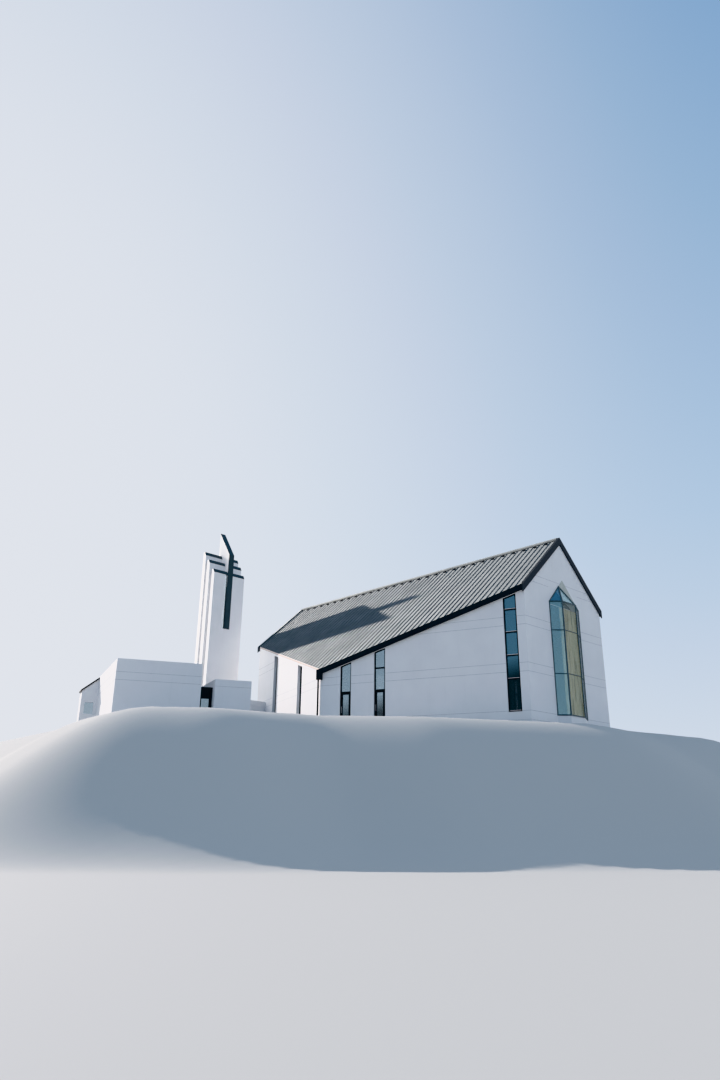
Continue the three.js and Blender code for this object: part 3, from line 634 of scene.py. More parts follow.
@dataclass(frozen=True)
class StripWindow:
    """A tall glazed strip in a wall.

    Attributes:
        name: The CAD node that it stands for.
        wall: The wall that it is in.
        near: Its near edge along the wall.
        far: Its far edge.
        sill: Its foot.
        setback: Depth of the frame's outer face.
        lights: Heights of the bars between panes.
        doorway: True where a door leaf hangs below the lowest bar.
        depth: Thickness of the frame.
        glass_depth: How far the pane lies behind the frame's face.
        glass: Thickness of the pane.
        bead: Width of the beads round the pane.
        bead_setback: How far they lie behind the frame's face.
        drop: How far below the roof its head is.
        drips: True where pale drip strips lie on the level bars.
        drip_rise: Height of a drip strip.
        drip_proud: How far it stands out of the frame.
        glazing: Finish of its panes.
    """

    name: str
    wall: WallFace
    near: float
    far: float
    sill: float
    setback: float
    lights: tuple[float, ...] = ()
    doorway: bool = False
    depth: float = 0.09
    glass_depth: float = 0.03
    glass: float = 0.028
    bead: float = 0.016
    bead_setback: float = 0.008
    drop: float = 0.12
    drips: bool = False
    drip_rise: float = 0.034
    drip_proud: float = 0.006
    glazing: Finish = Finish.GREY_GLAZING

    def bars(self) -> list[tuple[Height, Height]]:
        """Gives the foot and top of each level bar, the one under the roof last."""
        half = FRAME_FACE / 2
        head = FRAME_FACE * math.hypot(1, ROOF_SLOPE)
        foot = [] if self.doorway else [(self.sill + SEAT, self.sill + FRAME_FACE)]
        middle = [(z - half, z + half) for z in self.lights]
        return [*foot, *middle, (below_roof(self.drop + head), below_roof(self.drop + 2 * SEAT))]

    def build(self) -> None:
        """Makes the frame with its beads, and the panes behind them."""
        s0, s1 = self.near + SEAT, self.far - SEAT
        inner0, inner1 = s0 + FRAME_FACE, s1 - FRAME_FACE
        outer = (self.setback, self.setback + self.depth)
        glass_face = self.setback + self.glass_depth
        bead_depths = (self.setback + self.bead_setback, glass_face)
        frames, panes = Shell(), Shell()
        for ends in ((s0, inner0), (inner1, s1)):
            self.wall.block(frames, ends, (self.sill + SEAT, below_roof(self.drop + 2 * SEAT)), outer)
        levels = self.bars()
        for bar in levels:
            self.wall.block(frames, (inner0, inner1), bar, outer)
        for (_, low), (high, _) in zip(levels, levels[1:]):
            self.wall.block(panes, (inner0, inner1), (low, high), (glass_face, glass_face + self.glass))
            ends = (inner0 + self.bead, inner1 - self.bead)
            for upright in ((inner0, ends[0]), (ends[1], inner1)):
                self.wall.block(frames, upright, (low, high), bead_depths)
            for edge, side in ((low, 1), (high, -1)):
                self.wall.block(frames, ends, (edge, self.bead_edge(edge, side)), bead_depths)
        if not self.doorway and self.sill > FLOOR:
            self.outer_sill()
        if self.drips:
            self.drip_strips((inner0, inner1))
        frames.finished(f"{self.name}_frame", Finish.FRAMES, "dark_frame", self.name)
        panes.finished(f"{self.name}_panes", self.glazing, "window_glass", self.name)

    def bead_edge(self, edge: Height, side: int) -> Height:
        """Gives the far edge of the bead along a level bar, above it at side 1 and below it at side -1."""
        if callable(edge):
            return lambda x: edge(x) + side * self.bead
        return edge + side * self.bead

    def drip_strips(self, ends: Point) -> None:
        """Adds a pale drip strip over each level bar, in front of the glass above it."""
        shell = Shell()
        depths = (self.setback - self.drip_proud, self.setback + self.glass_depth - SEAT)
        for _, low in self.bars()[:-1]:
            self.wall.block(shell, ends, (low, low + self.drip_rise), depths)
        shell.finished(f"{self.name}_drips", Finish.FLASHING, "dark_frame")

    def outer_sill(self) -> None:
        """Adds the sloped metal sill in the wall under the frame."""
        shell = Shell()
        fall, thick, nose, lift = 0.012, 0.004, 0.03, 0.001
        ring = [(-nose, self.sill + lift), (self.setback - SEAT, self.sill + lift + fall)]
        ring += [(d, z + thick) for d, z in reversed(ring)]
        ends = (self.near + SEAT, self.far - SEAT)
        shell.prism(*([self.wall.point(s, d, z) for d, z in ring] for s in ends))
        shell.finished(f"{self.name}_sill", Finish.FLASHING, "roof_metal")


@dataclass(frozen=True)
class Nave:
    """The nave's side windows and doors, joints, eaves and roof folds.

    Attributes:
        seam_spacing: Distance between two standing seams.
        first_seam: Place of the first one behind the front gable.
        seam: Width and height of a seam.
        hood: Width and height of a vent hood.
        joint_drop: How far below the roof a side wall's joint ends.
        gable_drop: How far below the roof a gable's joint ends.
        shortest_joint: A joint shorter than this is left out.
    """

    seam_spacing: float = 0.457
    first_seam: float = 0.37
    seam: Point = (0.032, 0.035)
    hood: Point = (0.17, 0.075)
    joint_drop: float = 0.12
    gable_drop: float = 0.05
    shortest_joint: float = 0.05

    def side(self, mirrored: bool) -> tuple[WallFace, WallFace]:
        """Gives the front and rear side walls of one side."""
        front = WallFace((-GABLE_HALF, FRONT), (-KNEE_HALF, KNEE_Y), 1, mirrored)
        rear = WallFace((-KNEE_HALF, KNEE_Y), (-GABLE_HALF, REAR), 1, mirrored)
        return front, rear

    def windows(self) -> list[StripWindow]:
        """Gives every side window of both sides."""
        found = []
        for side, mirrored in (("left", False), ("right", True)):
            front, rear = self.side(mirrored)
            for place, ends, lights in (
                ("middle", MIDDLE_DOORWAY, (DOOR_HEAD, 4.36)),
                ("rear", REAR_DOORWAY, (DOOR_HEAD,)),
            ):
                name = f"{side}_{place}_window"
                found.append(StripWindow(name, front, *ends, FLOOR, FRAME_SETBACK, lights, not mirrored))
            for place, ends in (("knee", KNEE_SLOT), ("rear", REAR_SLOT)):
                found.append(StripWindow(f"{side}_{place}_slot", rear, *ends, FLOOR, SLOT_SETBACK, drop=0.0))
            name, lights = f"{side}_front_window", (3.02, 4.47, 5.94, 7.4)
            looks = {"drips": True, "glazing": Finish.GLAZING}
            found.append(StripWindow(name, front, *FRONT_WINDOW, FRONT_SILL, FRAME_SETBACK, lights, **looks))
        return found

    def doors(self) -> list["GlazedLeaf"]:
        """Gives the two hinged doors in the left side wall."""
        wall = self.side(False)[0]
        top = DOOR_HEAD - FRAME_FACE / 2 - LEAF_GAP
        edge = FRAME_FACE + LEAF_GAP
        return [
            GlazedLeaf(
                f"{place}_side_door", f"{place}_side_leaf", wall, near + edge, far - edge, FRAME_SETBACK,
                FLOOR + LEAF_GAP, top, True,
            )
            for place, (near, far) in (("middle", MIDDLE_DOORWAY), ("rear", REAR_DOORWAY))
        ]

    def build(self) -> None:
        """Makes the windows, doors, joints and roof folds."""
        for part in (*self.windows(), *self.doors()):
            part.build()
        self.joints()
        self.ridge()
        self.rear_eaves()
        self.seams()

    def ridge(self) -> None:
        """Makes the folded ridge cap over black strips: dark closures whose colour also paints the shade of
        the gap under the cap.
        """
        for name, finish, half, low, high in (
            ("folded_ridge_cap", Finish.ROOF, RIDGE_CAP_HALF, RIDGE_CLOSURE_SHADE_RISE, RIDGE_CAP_RISE),
            # Black strips: dark closures that also stand for painted shade in the gap under the cap
            ("ridge_vents", Finish.BLACK, RIDGE_CAP_HALF - 0.03, SEAT, RIDGE_CLOSURE_SHADE_RISE),
        ):
            ring = [(x, below_roof(-ROOF_RISE - low)(x)) for x in (-half, 0.0, half)]
            ring += [(x, below_roof(-ROOF_RISE - high)(x)) for x in (half, 0.0, -half)]
            ends = (FRONT + VERGE_COVER + SEAT, REAR - VERGE_COVER - SEAT)
            shell = Shell()
            shell.prism(*([(x, y, z) for x, z in ring] for y in ends))
            shell.finished(name, finish, "roof_metal", "ridge_cap")

    def rear_eaves(self) -> None:
        """Makes the painted board, a red-brown drip strip and pale flashing on the roof's edge over the rear
        walls; the drip strip's colour also paints the shadow line under the flashing.
        """
        for side, mirrored in (("left", False), ("right", True)):
            rear = self.side(mirrored)[1]
            for name, low, high, proud, finish, slot in (
                ("eave_board", 0.004, 0.19, 0.006, Finish.CONCRETE, "white_concrete"),
                ("eave_drip", 0.19, 0.208, 0.014, Finish.BRONZE, "roof_metal"),
                ("eave_flashing", 0.208, ROOF_RISE - 0.004, 0.01, Finish.FLASHING, "roof_metal"),
            ):
                shell = Shell()
                ends = (0.05, rear.length - VERGE_COVER)
                depths = (-ROOF_OVERHANG - proud, -ROOF_OVERHANG - SEAT)
                rear.block(shell, ends, (below_roof(-low), below_roof(-high)), depths)
                shell.finished(f"{side}_{name}", finish, slot)

    def joints(self) -> None:
        """Makes the thin filled joints that run level round the walls between the openings."""
        shell = Shell()
        windows = self.windows()
        front_gable = WallFace((GABLE_HALF, FRONT), (-GABLE_HALF, FRONT))
        rear_gable = WallFace((-GABLE_HALF, REAR), (GABLE_HALF, REAR))
        for height in NAVE_JOINTS:
            for wall in (*self.side(False), *self.side(True)):
                gaps = [(w.near, w.far) for w in windows if w.wall == wall and w.sill < height]
                for run in self.clear_runs(wall, height, gaps):
                    wall.joint(shell, run, height)
            reach = min(GABLE_HALF, (RIDGE_UNDER - self.gable_drop - height) / ROOF_SLOPE)
            start, end = GABLE_HALF - reach, GABLE_HALF + reach
            rear_gable.joint(shell, (start, end), height)
            bay = (GABLE_HALF - BAY_HALF, GABLE_HALF + BAY_HALF) if height < BAY_PEAK else ()
            stops = (start, *bay, end)
            for run in zip(stops[::2], stops[1::2]):
                front_gable.joint(shell, run, height)
        shell.finished("wall_joints", Finish.JOINT, "white_concrete")

    def clear_runs(self, wall: WallFace, height: float, gaps: list[Point]) -> list[Point]:
        """Finds where a joint can run.

        Args:
            wall: The side wall.
            height: The joint's height.
            gaps: Near and far edge of each opening that it meets.

        Returns:
            Start and end of each run along the wall.
        """
        reach = (RIDGE_UNDER - self.joint_drop - height) / ROOF_SLOPE
        spread = (KNEE_HALF - GABLE_HALF) / wall.length
        if wall.start[0] == -GABLE_HALF:
            start, end = 0.0, min(wall.length, (reach - GABLE_HALF) / spread)
        else:
            start, end = max(0.0, (KNEE_HALF - reach) / spread), wall.length
        runs, at = [], start
        for near, far in sorted(gaps):
            if near < end and far > start:
                runs.append((at, near))
                at = far
        runs.append((at, end))
        return [(a, b) for a, b in runs if b - a > self.shortest_joint]

    def seams(self) -> None:
        """Makes the standing seams of both slopes, and vent hoods between every other pair of them."""
        seams, hoods = seam_tree(), hood_tree()
        spacing, first = self.seam_spacing, self.first_seam
        count = int((REAR - VERGE_COVER - first) / spacing) + 1
        hood_count = int((REAR - FRONT - 1) / (2 * spacing))
        for side, sign in (("left", -1.0), ("right", 1.0)):
            sizes = (sign, spacing, first, count, *self.seam)
            grown(f"{side}_roof_seams", seams, sizes, Finish.SEAM)
            sizes = (sign, 2 * spacing, first + spacing / 2, hood_count, *self.hood)
            grown(f"{side}_vent_hoods", hoods, sizes, Finish.BLACK)


ROW_SIZES = ("Side", "Spacing", "First", "Count", "Width", "Height")


def vector_node(tree: Tree, *parts: object) -> Socket:
    """Joins up to three sockets or numbers to a vector, with zeros for the rest."""
    return add_node(tree, "ShaderNodeCombineXYZ", inputs=dict(enumerate(parts))).outputs[0]


def cube(tree: Tree, *size: object) -> Socket:
    """Adds a cube of a size given as three sockets or numbers."""
    return add_node(tree, "GeometryNodeMeshCube", inputs={"Size": vector_node(tree, *size)}).outputs[0]


def lifted(tree: Tree, geometry: Socket, rise: object) -> Socket:
    """Moves geometry up by a socket's value or a number."""
    inputs = {"Geometry": geometry, "Translation": vector_node(tree, 0.0, 0.0, rise)}
    return add_node(tree, "GeometryNodeTransform", inputs=inputs).outputs[0]


def new_row(name: str) -> tuple[Tree, dict[str, Socket]]:
    """Starts a geometry tree for a row of like parts on a roof slope.

    Args:
        name: The tree's name.

    Returns:
        The tree, and its inputs by name: the sizes of the row and the finish.
    """
    tree = bpy.data.node_groups.new(name, "GeometryNodeTree")
    tree.interface.new_socket("Geometry", in_out="OUTPUT", socket_type="NodeSocketGeometry")
    for label in (*ROW_SIZES, "Finish"):
        kind = {"Count": "NodeSocketInt", "Finish": "NodeSocketMaterial"}.get(label, "NodeSocketFloat")
        tree.interface.new_socket(label, in_out="INPUT", socket_type=kind)
    inputs = add_node(tree, "NodeGroupInput")
    return tree, {s.name: s for s in inputs.outputs if s.name}


def row_points(tree: Tree, inputs: dict[str, Socket], x: object = 0.0, z: float = 0.0) -> Socket:
    """Adds the row's points along the ridge, at a distance from it and a height."""
    start = vector_node(tree, x, inputs["First"], z)
    step = vector_node(tree, 0.0, inputs["Spacing"])
    ends = {"Count": inputs["Count"], "Start Location": start, "Offset": step}
    return add_node(tree, "GeometryNodeMeshLine", {"mode": "OFFSET"}, ends).outputs[0]


def end_row(
    tree: Tree, inputs: dict[str, Socket], points: Socket, part: Socket, scale: object = (1.0, 1.0, 1.0)
) -> Tree:
    """Sets a part on each point, tilted with the slope, and ends the tree with real meshes in their finish.

    Args:
        tree: The geometry tree.
        inputs: Its inputs by name.
        points: The row's points.
        part: The part's mesh.
        scale: The part's scale, as numbers or a socket.

    Returns:
        The tree.
    """
    tilt = math_node(tree, "MULTIPLY", inputs["Side"], math.atan(ROOF_SLOPE))
    placing = {"Points": points, "Instance": part, "Rotation": vector_node(tree, 0.0, tilt), "Scale": scale}
    laid = add_node(tree, "GeometryNodeInstanceOnPoints", inputs=placing)
    real = add_node(tree, "GeometryNodeRealizeInstances", inputs={0: laid.outputs[0]})
    finishing = {"Geometry": real.outputs[0], "Material": inputs["Finish"]}
    dressed = add_node(tree, "GeometryNodeSetMaterial", inputs=finishing)
    add_node(tree, "NodeGroupOutput", inputs={0: dressed.outputs[0]})
    return tree


def grown(name: str, tree: Tree, sizes: Sequence[float], finish: Finish) -> Piece:
    """Runs a row's geometry tree and keeps its result as a piece.

    Args:
        name: The piece's name.
        tree: The geometry tree.
        sizes: Values of the row's sizes, in their order.
        finish: The piece's finish.

    Returns:
        The new object.
    """
    seed = bpy.data.objects.new(f"{name}_seed", bpy.data.meshes.new(f"{name}_seed"))
    bpy.context.scene.collection.objects.link(seed)
    modifier = seed.modifiers.new("growth", "NODES")
    modifier.node_group = tree
    sockets = [s for s in tree.interface.items_tree if s.item_type == "SOCKET" and s.in_out == "INPUT"]
    for socket, value in zip(sockets, (*sizes, finish.material())):
        modifier[socket.identifier] = value
    seen = seed.evaluated_get(bpy.context.evaluated_depsgraph_get())
    mesh = bpy.data.meshes.new_from_object(seen)
    mesh.name = name
    bpy.data.objects.remove(seed)
    return placed(mesh, finish)


def seam_tree() -> Tree:
    """Builds the tree that lays folded seams down a roof slope, from the ridge to the eave."""
    tree, inputs = new_row("standing_seams")
    line = row_points(tree, inputs)
    place = add_node(tree, "GeometryNodeInputPosition").outputs[0]
    along = add_node(tree, "ShaderNodeSeparateXYZ", inputs={0: place}).outputs[1]
    # The eave runs out from the gables to the knee
    from_knee = math_node(tree, "ABSOLUTE", math_node(tree, "SUBTRACT", along, KNEE_Y))
    share = math_node(tree, "SUBTRACT", 1.0, math_node(tree, "DIVIDE", from_knee, NAVE_LENGTH / 2))
    spread = math_node(tree, "MULTIPLY", share, KNEE_HALF - GABLE_HALF)
    short_of_eave, above_sheet = 0.004, 0.001
    eave = math_node(tree, "ADD", spread, GABLE_HALF + ROOF_OVERHANG - short_of_eave)
    run = math_node(tree, "SUBTRACT", eave, RIDGE_CAP_HALF)
    middle = math_node(tree, "MULTIPLY", math_node(tree, "ADD", eave, RIDGE_CAP_HALF), 0.5)
    drop = math_node(tree, "MULTIPLY", middle, ROOF_SLOPE)
    height = math_node(tree, "SUBTRACT", RIDGE_UNDER + ROOF_RISE + above_sheet, drop)
    spot = vector_node(tree, math_node(tree, "MULTIPLY", middle, inputs["Side"]), along, height)
    moved = add_node(tree, "GeometryNodeSetPosition", inputs={"Geometry": line, "Position": spot})
    length = math_node(tree, "MULTIPLY", run, math.hypot(1, ROOF_SLOPE))
    # A seam is a low capping strip with the upright fold on it
    foot_height, widening = 0.008, 2.6
    foot_width = math_node(tree, "MULTIPLY", inputs["Width"], widening)
    fold = cube(tree, 1.0, inputs["Width"], inputs["Height"])
    fold = lifted(tree, fold, math_node(tree, "MULTIPLY", inputs["Height"], 0.5))
    foot = lifted(tree, cube(tree, 1.0, foot_width, foot_height), foot_height / 2)
    both = add_node(tree, "GeometryNodeJoinGeometry")
    for part in (fold, foot):
        tree.links.new(part, both.inputs[0])
    return end_row(tree, inputs, moved.outputs[0], both.outputs[0], vector_node(tree, length, 1.0, 1.0))


def hood_tree() -> Tree:
    """Builds the tree that sets a row of low vent hoods on the sheets beside the ridge."""
    tree, inputs = new_row("vent_hoods")
    from_ridge, length, rise = 0.3, 0.16, 0.03
    x = math_node(tree, "MULTIPLY", inputs["Side"], from_ridge)
    points = row_points(tree, inputs, x, RIDGE_UNDER + ROOF_RISE - ROOF_SLOPE * from_ridge + rise)
    return end_row(tree, inputs, points, cube(tree, length, inputs["Width"], inputs["Height"]))


@dataclass(frozen=True)
class Bay:
    """The folded glass bay in the front gable, with the curtain behind it.

    Attributes:
        projection: How far it stands out of the gable.
        folds: Where its front face begins and ends.
        peak: Place of its highest point.
        thickness: Thickness of its panes.
        left: The curtain's left edge.
        right: Its right edge.
        middle: Depth of its middle.
        foot: Height of its hem.
        top: Height of its upper edge.
        pleat: Width of a pleat.
        fullness: How far a pleat swings out.
        cloth: Thickness of the cloth.
        rail_level: Height of the rail's middle.
        rail_radius: Radius of the rail.
    """

    projection: float = 0.6
    folds: Point = (-1.15, 0.45)
    peak: float = -0.5
    thickness: float = 0.03
    left: float = -0.45
    right: float = 1.66
    middle: float = -0.1
    foot: float = 1.03
    top: float = 8.2297
    pleat: float = 0.15
    fullness: float = 0.036
    cloth: float = 0.003
    rail_level: float = 8.25
    rail_radius: float = 0.02

    def build(self) -> None:
        """Glazes the bay and hangs the curtain."""
        self.panes()
        self.curtain()

    def panes(self) -> None:
        """Makes the panes: mirror glass on the side faces and caps, clearer glass before the curtain."""
        out = FRONT - self.projection
        plan = [(-BAY_HALF, FRONT), *((x, out) for x in self.folds), (BAY_HALF, FRONT)]
        sill, peak = BAY_SILL + SEAT, Vector((self.peak, FRONT, BAY_PEAK))
        mirror, clear = Shell(), Shell()
        for index, ((x0, y0), (x1, y1)) in enumerate(zip(plan, plan[1:])):
            inward = Vector((y0 - y1, x1 - x0, 0)).normalized() * self.thickness
            corners = [(x0, y0, sill), (x1, y1, sill), (x1, y1, BAY_CAP), (x0, y0, BAY_CAP)]
            upright = [Vector(c) for c in corners]
            (clear if index == 1 else mirror).prism(upright, [v + inward for v in upright])
            slope = [upright[3], upright[2], peak]
            down = (slope[1] - slope[0]).cross(slope[2] - slope[0]).normalized() * -self.thickness
            mirror.prism(slope, [v + down for v in slope])
        mirror.finished("bay_mirror_panes", Finish.BAY_MIRROR, "window_glass", "bay_glass")
        clear.finished("bay_clear_panes", Finish.BAY_GLAZING, "window_glass", "bay_glass")

    def fold(self, x: float, height: float) -> float:
        """Gives the cloth's depth at a place, with soft pleats that open and wander towards the hem."""
        fall = (self.top - height) / (self.top - self.foot)
        drift = 0.35 * math.sin(3.1 * x + 1.7) * fall
        swell = self.fullness * (0.75 + 0.2 * fall + 0.05 * math.sin(5.3 * x))
        return self.middle + swell * math.sin(2 * math.pi * x / self.pleat + drift)

    def curtain(self) -> None:
        """Makes the pleated curtain with its hem, and its rings on the rail."""
        inset, per_pleat, rows = 0.01, 12, 40
        pleats = round((self.right - self.left) / self.pleat)
        xs = np.linspace(self.left + inset, self.right - inset, per_pleat * pleats)
        heights = np.linspace(self.foot, self.top, rows)
        sides = (-self.cloth / 2, self.cloth / 2)
        vertices = [(x, self.fold(x, z) + side, z) for side in sides for z in heights for x in xs]
        count, levels = len(xs), len(heights)
        back = count * levels
        faces = []
        for i in range(levels - 1):
            for j in range(count - 1):
                a, b, c, d = i * count + j, i * count + j + 1, (i + 1) * count + j + 1, (i + 1) * count + j
                faces += [(a, b, c, d), (back + d, back + c, back + b, back + a)]
        rim = [*range(count), *((i + 1) * count - 1 for i in range(1, levels))]
        rim += [*(back - 1 - j for j in range(1, count)), *(i * count for i in range(levels - 2, 0, -1))]
        faces += [(a, back + a, back + b, b) for a, b in zip(rim, rim[1:] + rim[:1])]
        mesh = closed_mesh("pleated_curtain", vertices, faces, smooth=True)
        piece = placed(mesh, Finish.CURTAIN, "bay_curtain")
        rings = Shell()
        for x in np.arange(self.left + self.pleat / 2, self.right, self.pleat):
            self.ring(rings, x)
        eyelets = rings.finished("curtain_rings", Finish.FLASHING, "curtain_cloth")

    def ring(self, shell: Shell, x: float) -> None:
        """Adds a ring of short bars round the rail at a place."""
        sides, wire = 8, 0.003
        reach = self.rail_radius + 3 * wire
        spots = [
            (x, self.middle + reach * math.cos(t), self.rail_level + reach * math.sin(t))
            for t in (2 * math.pi * i / sides for i in range(sides))
        ]
        for a, b in zip(spots, spots[1:] + spots[:1]):
            shell.rod(a, b, wire, 6)


@dataclass(frozen=True)
class GlazedLeaf:
    """A hinged glass door.

    Attributes:
        node: The CAD node that it stands for.
        body: The body that turns.
        wall: The face that it is measured from.
        near: Its near edge.
        far: Its far edge.
        setback: Depth of its outer face.
        foot: Its lower edge.
        top: Its upper edge.
        hinged_near: True where its hinges are at the near edge.
        stile: Width of its frame.
        depth: Thickness of its frame.
        rebate: How far the pane reaches into the frame.
        glass: Depths of the pane's faces behind the leaf's outer face.
        grip: Heights of the pull handle's feet above its lower edge.
        grip_end: How far the handle's bar runs on past its feet.
        grip_radii: Radius of the handle's bar and of its feet.
        reach: How far the handle stands out.
        hinge_inset: Distance of a hinge's middle from the upper or lower edge.
        knuckle: Half the height of a hinge's middle knuckle.
        pin_depth: How far a hinge's pin lies before the outer face.
        pin_radius: Radius of a knuckle.
        flap: How far a hinge's flap reaches from the pin.
    """

    node: str
    body: str
    wall: WallFace
    near: float
    far: float
    setback: float
    foot: float
    top: float
    hinged_near: bool
    stile: float = 0.11
    depth: float = 0.06
    rebate: float = 0.01
    glass: Point = (0.016, 0.044)
    grip: Point = (0.85, 1.2)
    grip_end: float = 0.04
    grip_radii: Point = (0.011, 0.008)
    reach: float = 0.05
    hinge_inset: float = 0.26
    knuckle: float = 0.03
    pin_depth: float = 0.012
    pin_radius: float = 0.009
    flap: float = 0.034

    def build(self) -> None:
        """Makes the leaf's frame, pane, pull handles and hinge knuckles."""
        frames, pane, metal = Shell(), Shell(), Shell()
        n, f, a, b, s = self.near, self.far, self.foot, self.top, self.stile
        outer = (self.setback, self.setback + self.depth)
        for stile in ((n, n + s), (f - s, f)):
            self.wall.block(frames, stile, (a, b), outer)
        for rail in ((a, a + s), (b - s, b)):
            self.wall.block(frames, (n + s, f - s), rail, outer)
        lap = s - self.rebate
        glass = tuple(self.setback + d for d in self.glass)
        self.wall.block(pane, (n + lap, f - lap), (a + lap, b - lap), glass)
        middle = (f - s / 2) if self.hinged_near else (n + s / 2)
        low, high = (a + z for z in self.grip)
        bar, foot = self.grip_radii
        for face, out in zip(outer, (outer[0] - self.reach, outer[1] + self.reach)):
            ends = (self.wall.point(middle, out, z) for z in (low - self.grip_end, high + self.grip_end))
            metal.rod(*ends, bar)
            for z in (low, high):
                metal.rod(self.wall.point(middle, face, z), self.wall.point(middle, out, z), foot)
        frames.finished(f"{self.node}_frame", Finish.FRAMES, "dark_frame", self.node, self.body)
        pane.finished(f"{self.node}_pane", Finish.GREY_GLAZING, "window_glass", self.node, self.body)
        metal.finished(f"{self.node}_handles", Finish.FLASHING, "dark_frame", None, self.body)
        self.hinges()

    def hinges(self) -> None:
        """Makes the knuckles of two hinges, the middle one on the leaf and the outer ones on the frame."""
        sign = 1 if self.hinged_near else -1
        pin = (self.near if self.hinged_near else self.far) - sign * LEAF_GAP / 2
        depth = self.setback - self.pin_depth
        turning, fixed = Shell(), Shell()
        k = self.knuckle
        for level in (self.foot + self.hinge_inset, self.top - self.hinge_inset):
            for shell, side, low, high in (
                (turning, sign, level - k, level + k),
                (fixed, -sign, level - 2 * k, level - k - SEAT),
                (fixed, -sign, level + k + SEAT, level + 2 * k),
            ):
                shell.rod(*(self.wall.point(pin, depth, z) for z in (low, high)), self.pin_radius, 16)
                ends = sorted((pin + side * LEAF_GAP / 2, pin + side * self.flap))
                self.wall.block(shell, ends, (low, high), (depth - 0.004, self.setback + 0.001))
        turning.finished(f"{self.node}_hinge_leaves", Finish.BLACK, "dark_frame", None, self.body)
        fixed.finished(f"{self.node}_hinge_posts", Finish.BLACK, "dark_frame")


@dataclass(frozen=True)
class Wing:
    """The low wing: meeting block, low hall and porch.

    Attributes:
        corner: Plan point of the meeting block's outer corner.
        front_turn: Turn of the wing's front against X.
        side_turn: Turn of its side against Y.
        meeting_length: Length of the meeting block's front.
        meeting_depth: Length of its side.
        hall_left: Where the low hall's front begins along the wing's front.
        hall_right: Where it ends.
        hall_bend: How far back its right side runs.
        porch_recess: How far the entrance lies behind the front.
        porch_head: Height of the entrance frame's top.
        porch_rail: Height of the frame's rail over the door.
        porch_stile: Width of its posts.
    """

    corner: Point = (-20.59, 21.64)
    front_turn: float = math.radians(-25.3)
    side_turn: float = math.radians(18.3)
    meeting_length: float = 5.71
    meeting_depth: float = 9.84
    hall_left: float = 6.65
    hall_right: float = 9.2
    hall_bend: float = 7.9
    porch_recess: float = 0.58
    porch_head: float = 2.74
    porch_rail: float = 0.06
    porch_stile: float = 0.09

    def at(self, along: float, back: float) -> Point:
        """Gives a plan point from distances along the wing's front and back along its side."""
        return (
            self.corner[0] + math.cos(self.front_turn) * along + math.sin(self.side_turn) * back,
            self.corner[1] + math.sin(self.front_turn) * along + math.cos(self.side_turn) * back,
        )

    def build(self) -> None:
        """Makes the joints and the entrance door."""
        self.joints()
        recess = WallFace(*(self.at(along, self.porch_recess) for along in (0, self.meeting_length)), -1)
        clear = self.porch_stile + LEAF_GAP + SEAT
        near, far = self.meeting_length + clear, self.hall_left - clear
        foot, top = FLOOR + LEAF_GAP, self.porch_head - self.porch_rail - LEAF_GAP
        GlazedLeaf("entrance_door", "entrance_leaf", recess, near, far, 0.0, foot, top, False).build()

    def joints(self) -> None:
        """Makes the filled joints round the meeting block and across the low hall's front."""
        shell = Shell()
        length, depth = self.meeting_length, self.meeting_depth
        for start, end, heights in (
            ((0, 0), (length, 0), BLOCK_JOINTS),
            ((length, depth), (0, depth), BLOCK_JOINTS),
            ((0, depth), (0, 0), BLOCK_JOINTS),
            ((self.hall_left, 0), (self.hall_right, 0), HALL_JOINTS),
            ((self.hall_right, 0), (self.hall_right, self.hall_bend), HALL_JOINTS),
        ):
            face = WallFace(self.at(*start), self.at(*end), -1)
            for height in heights:
                face.joint(shell, (0.0, face.length), height)
        shell.finished("wing_joints", Finish.JOINT, "white_concrete")


# The setting


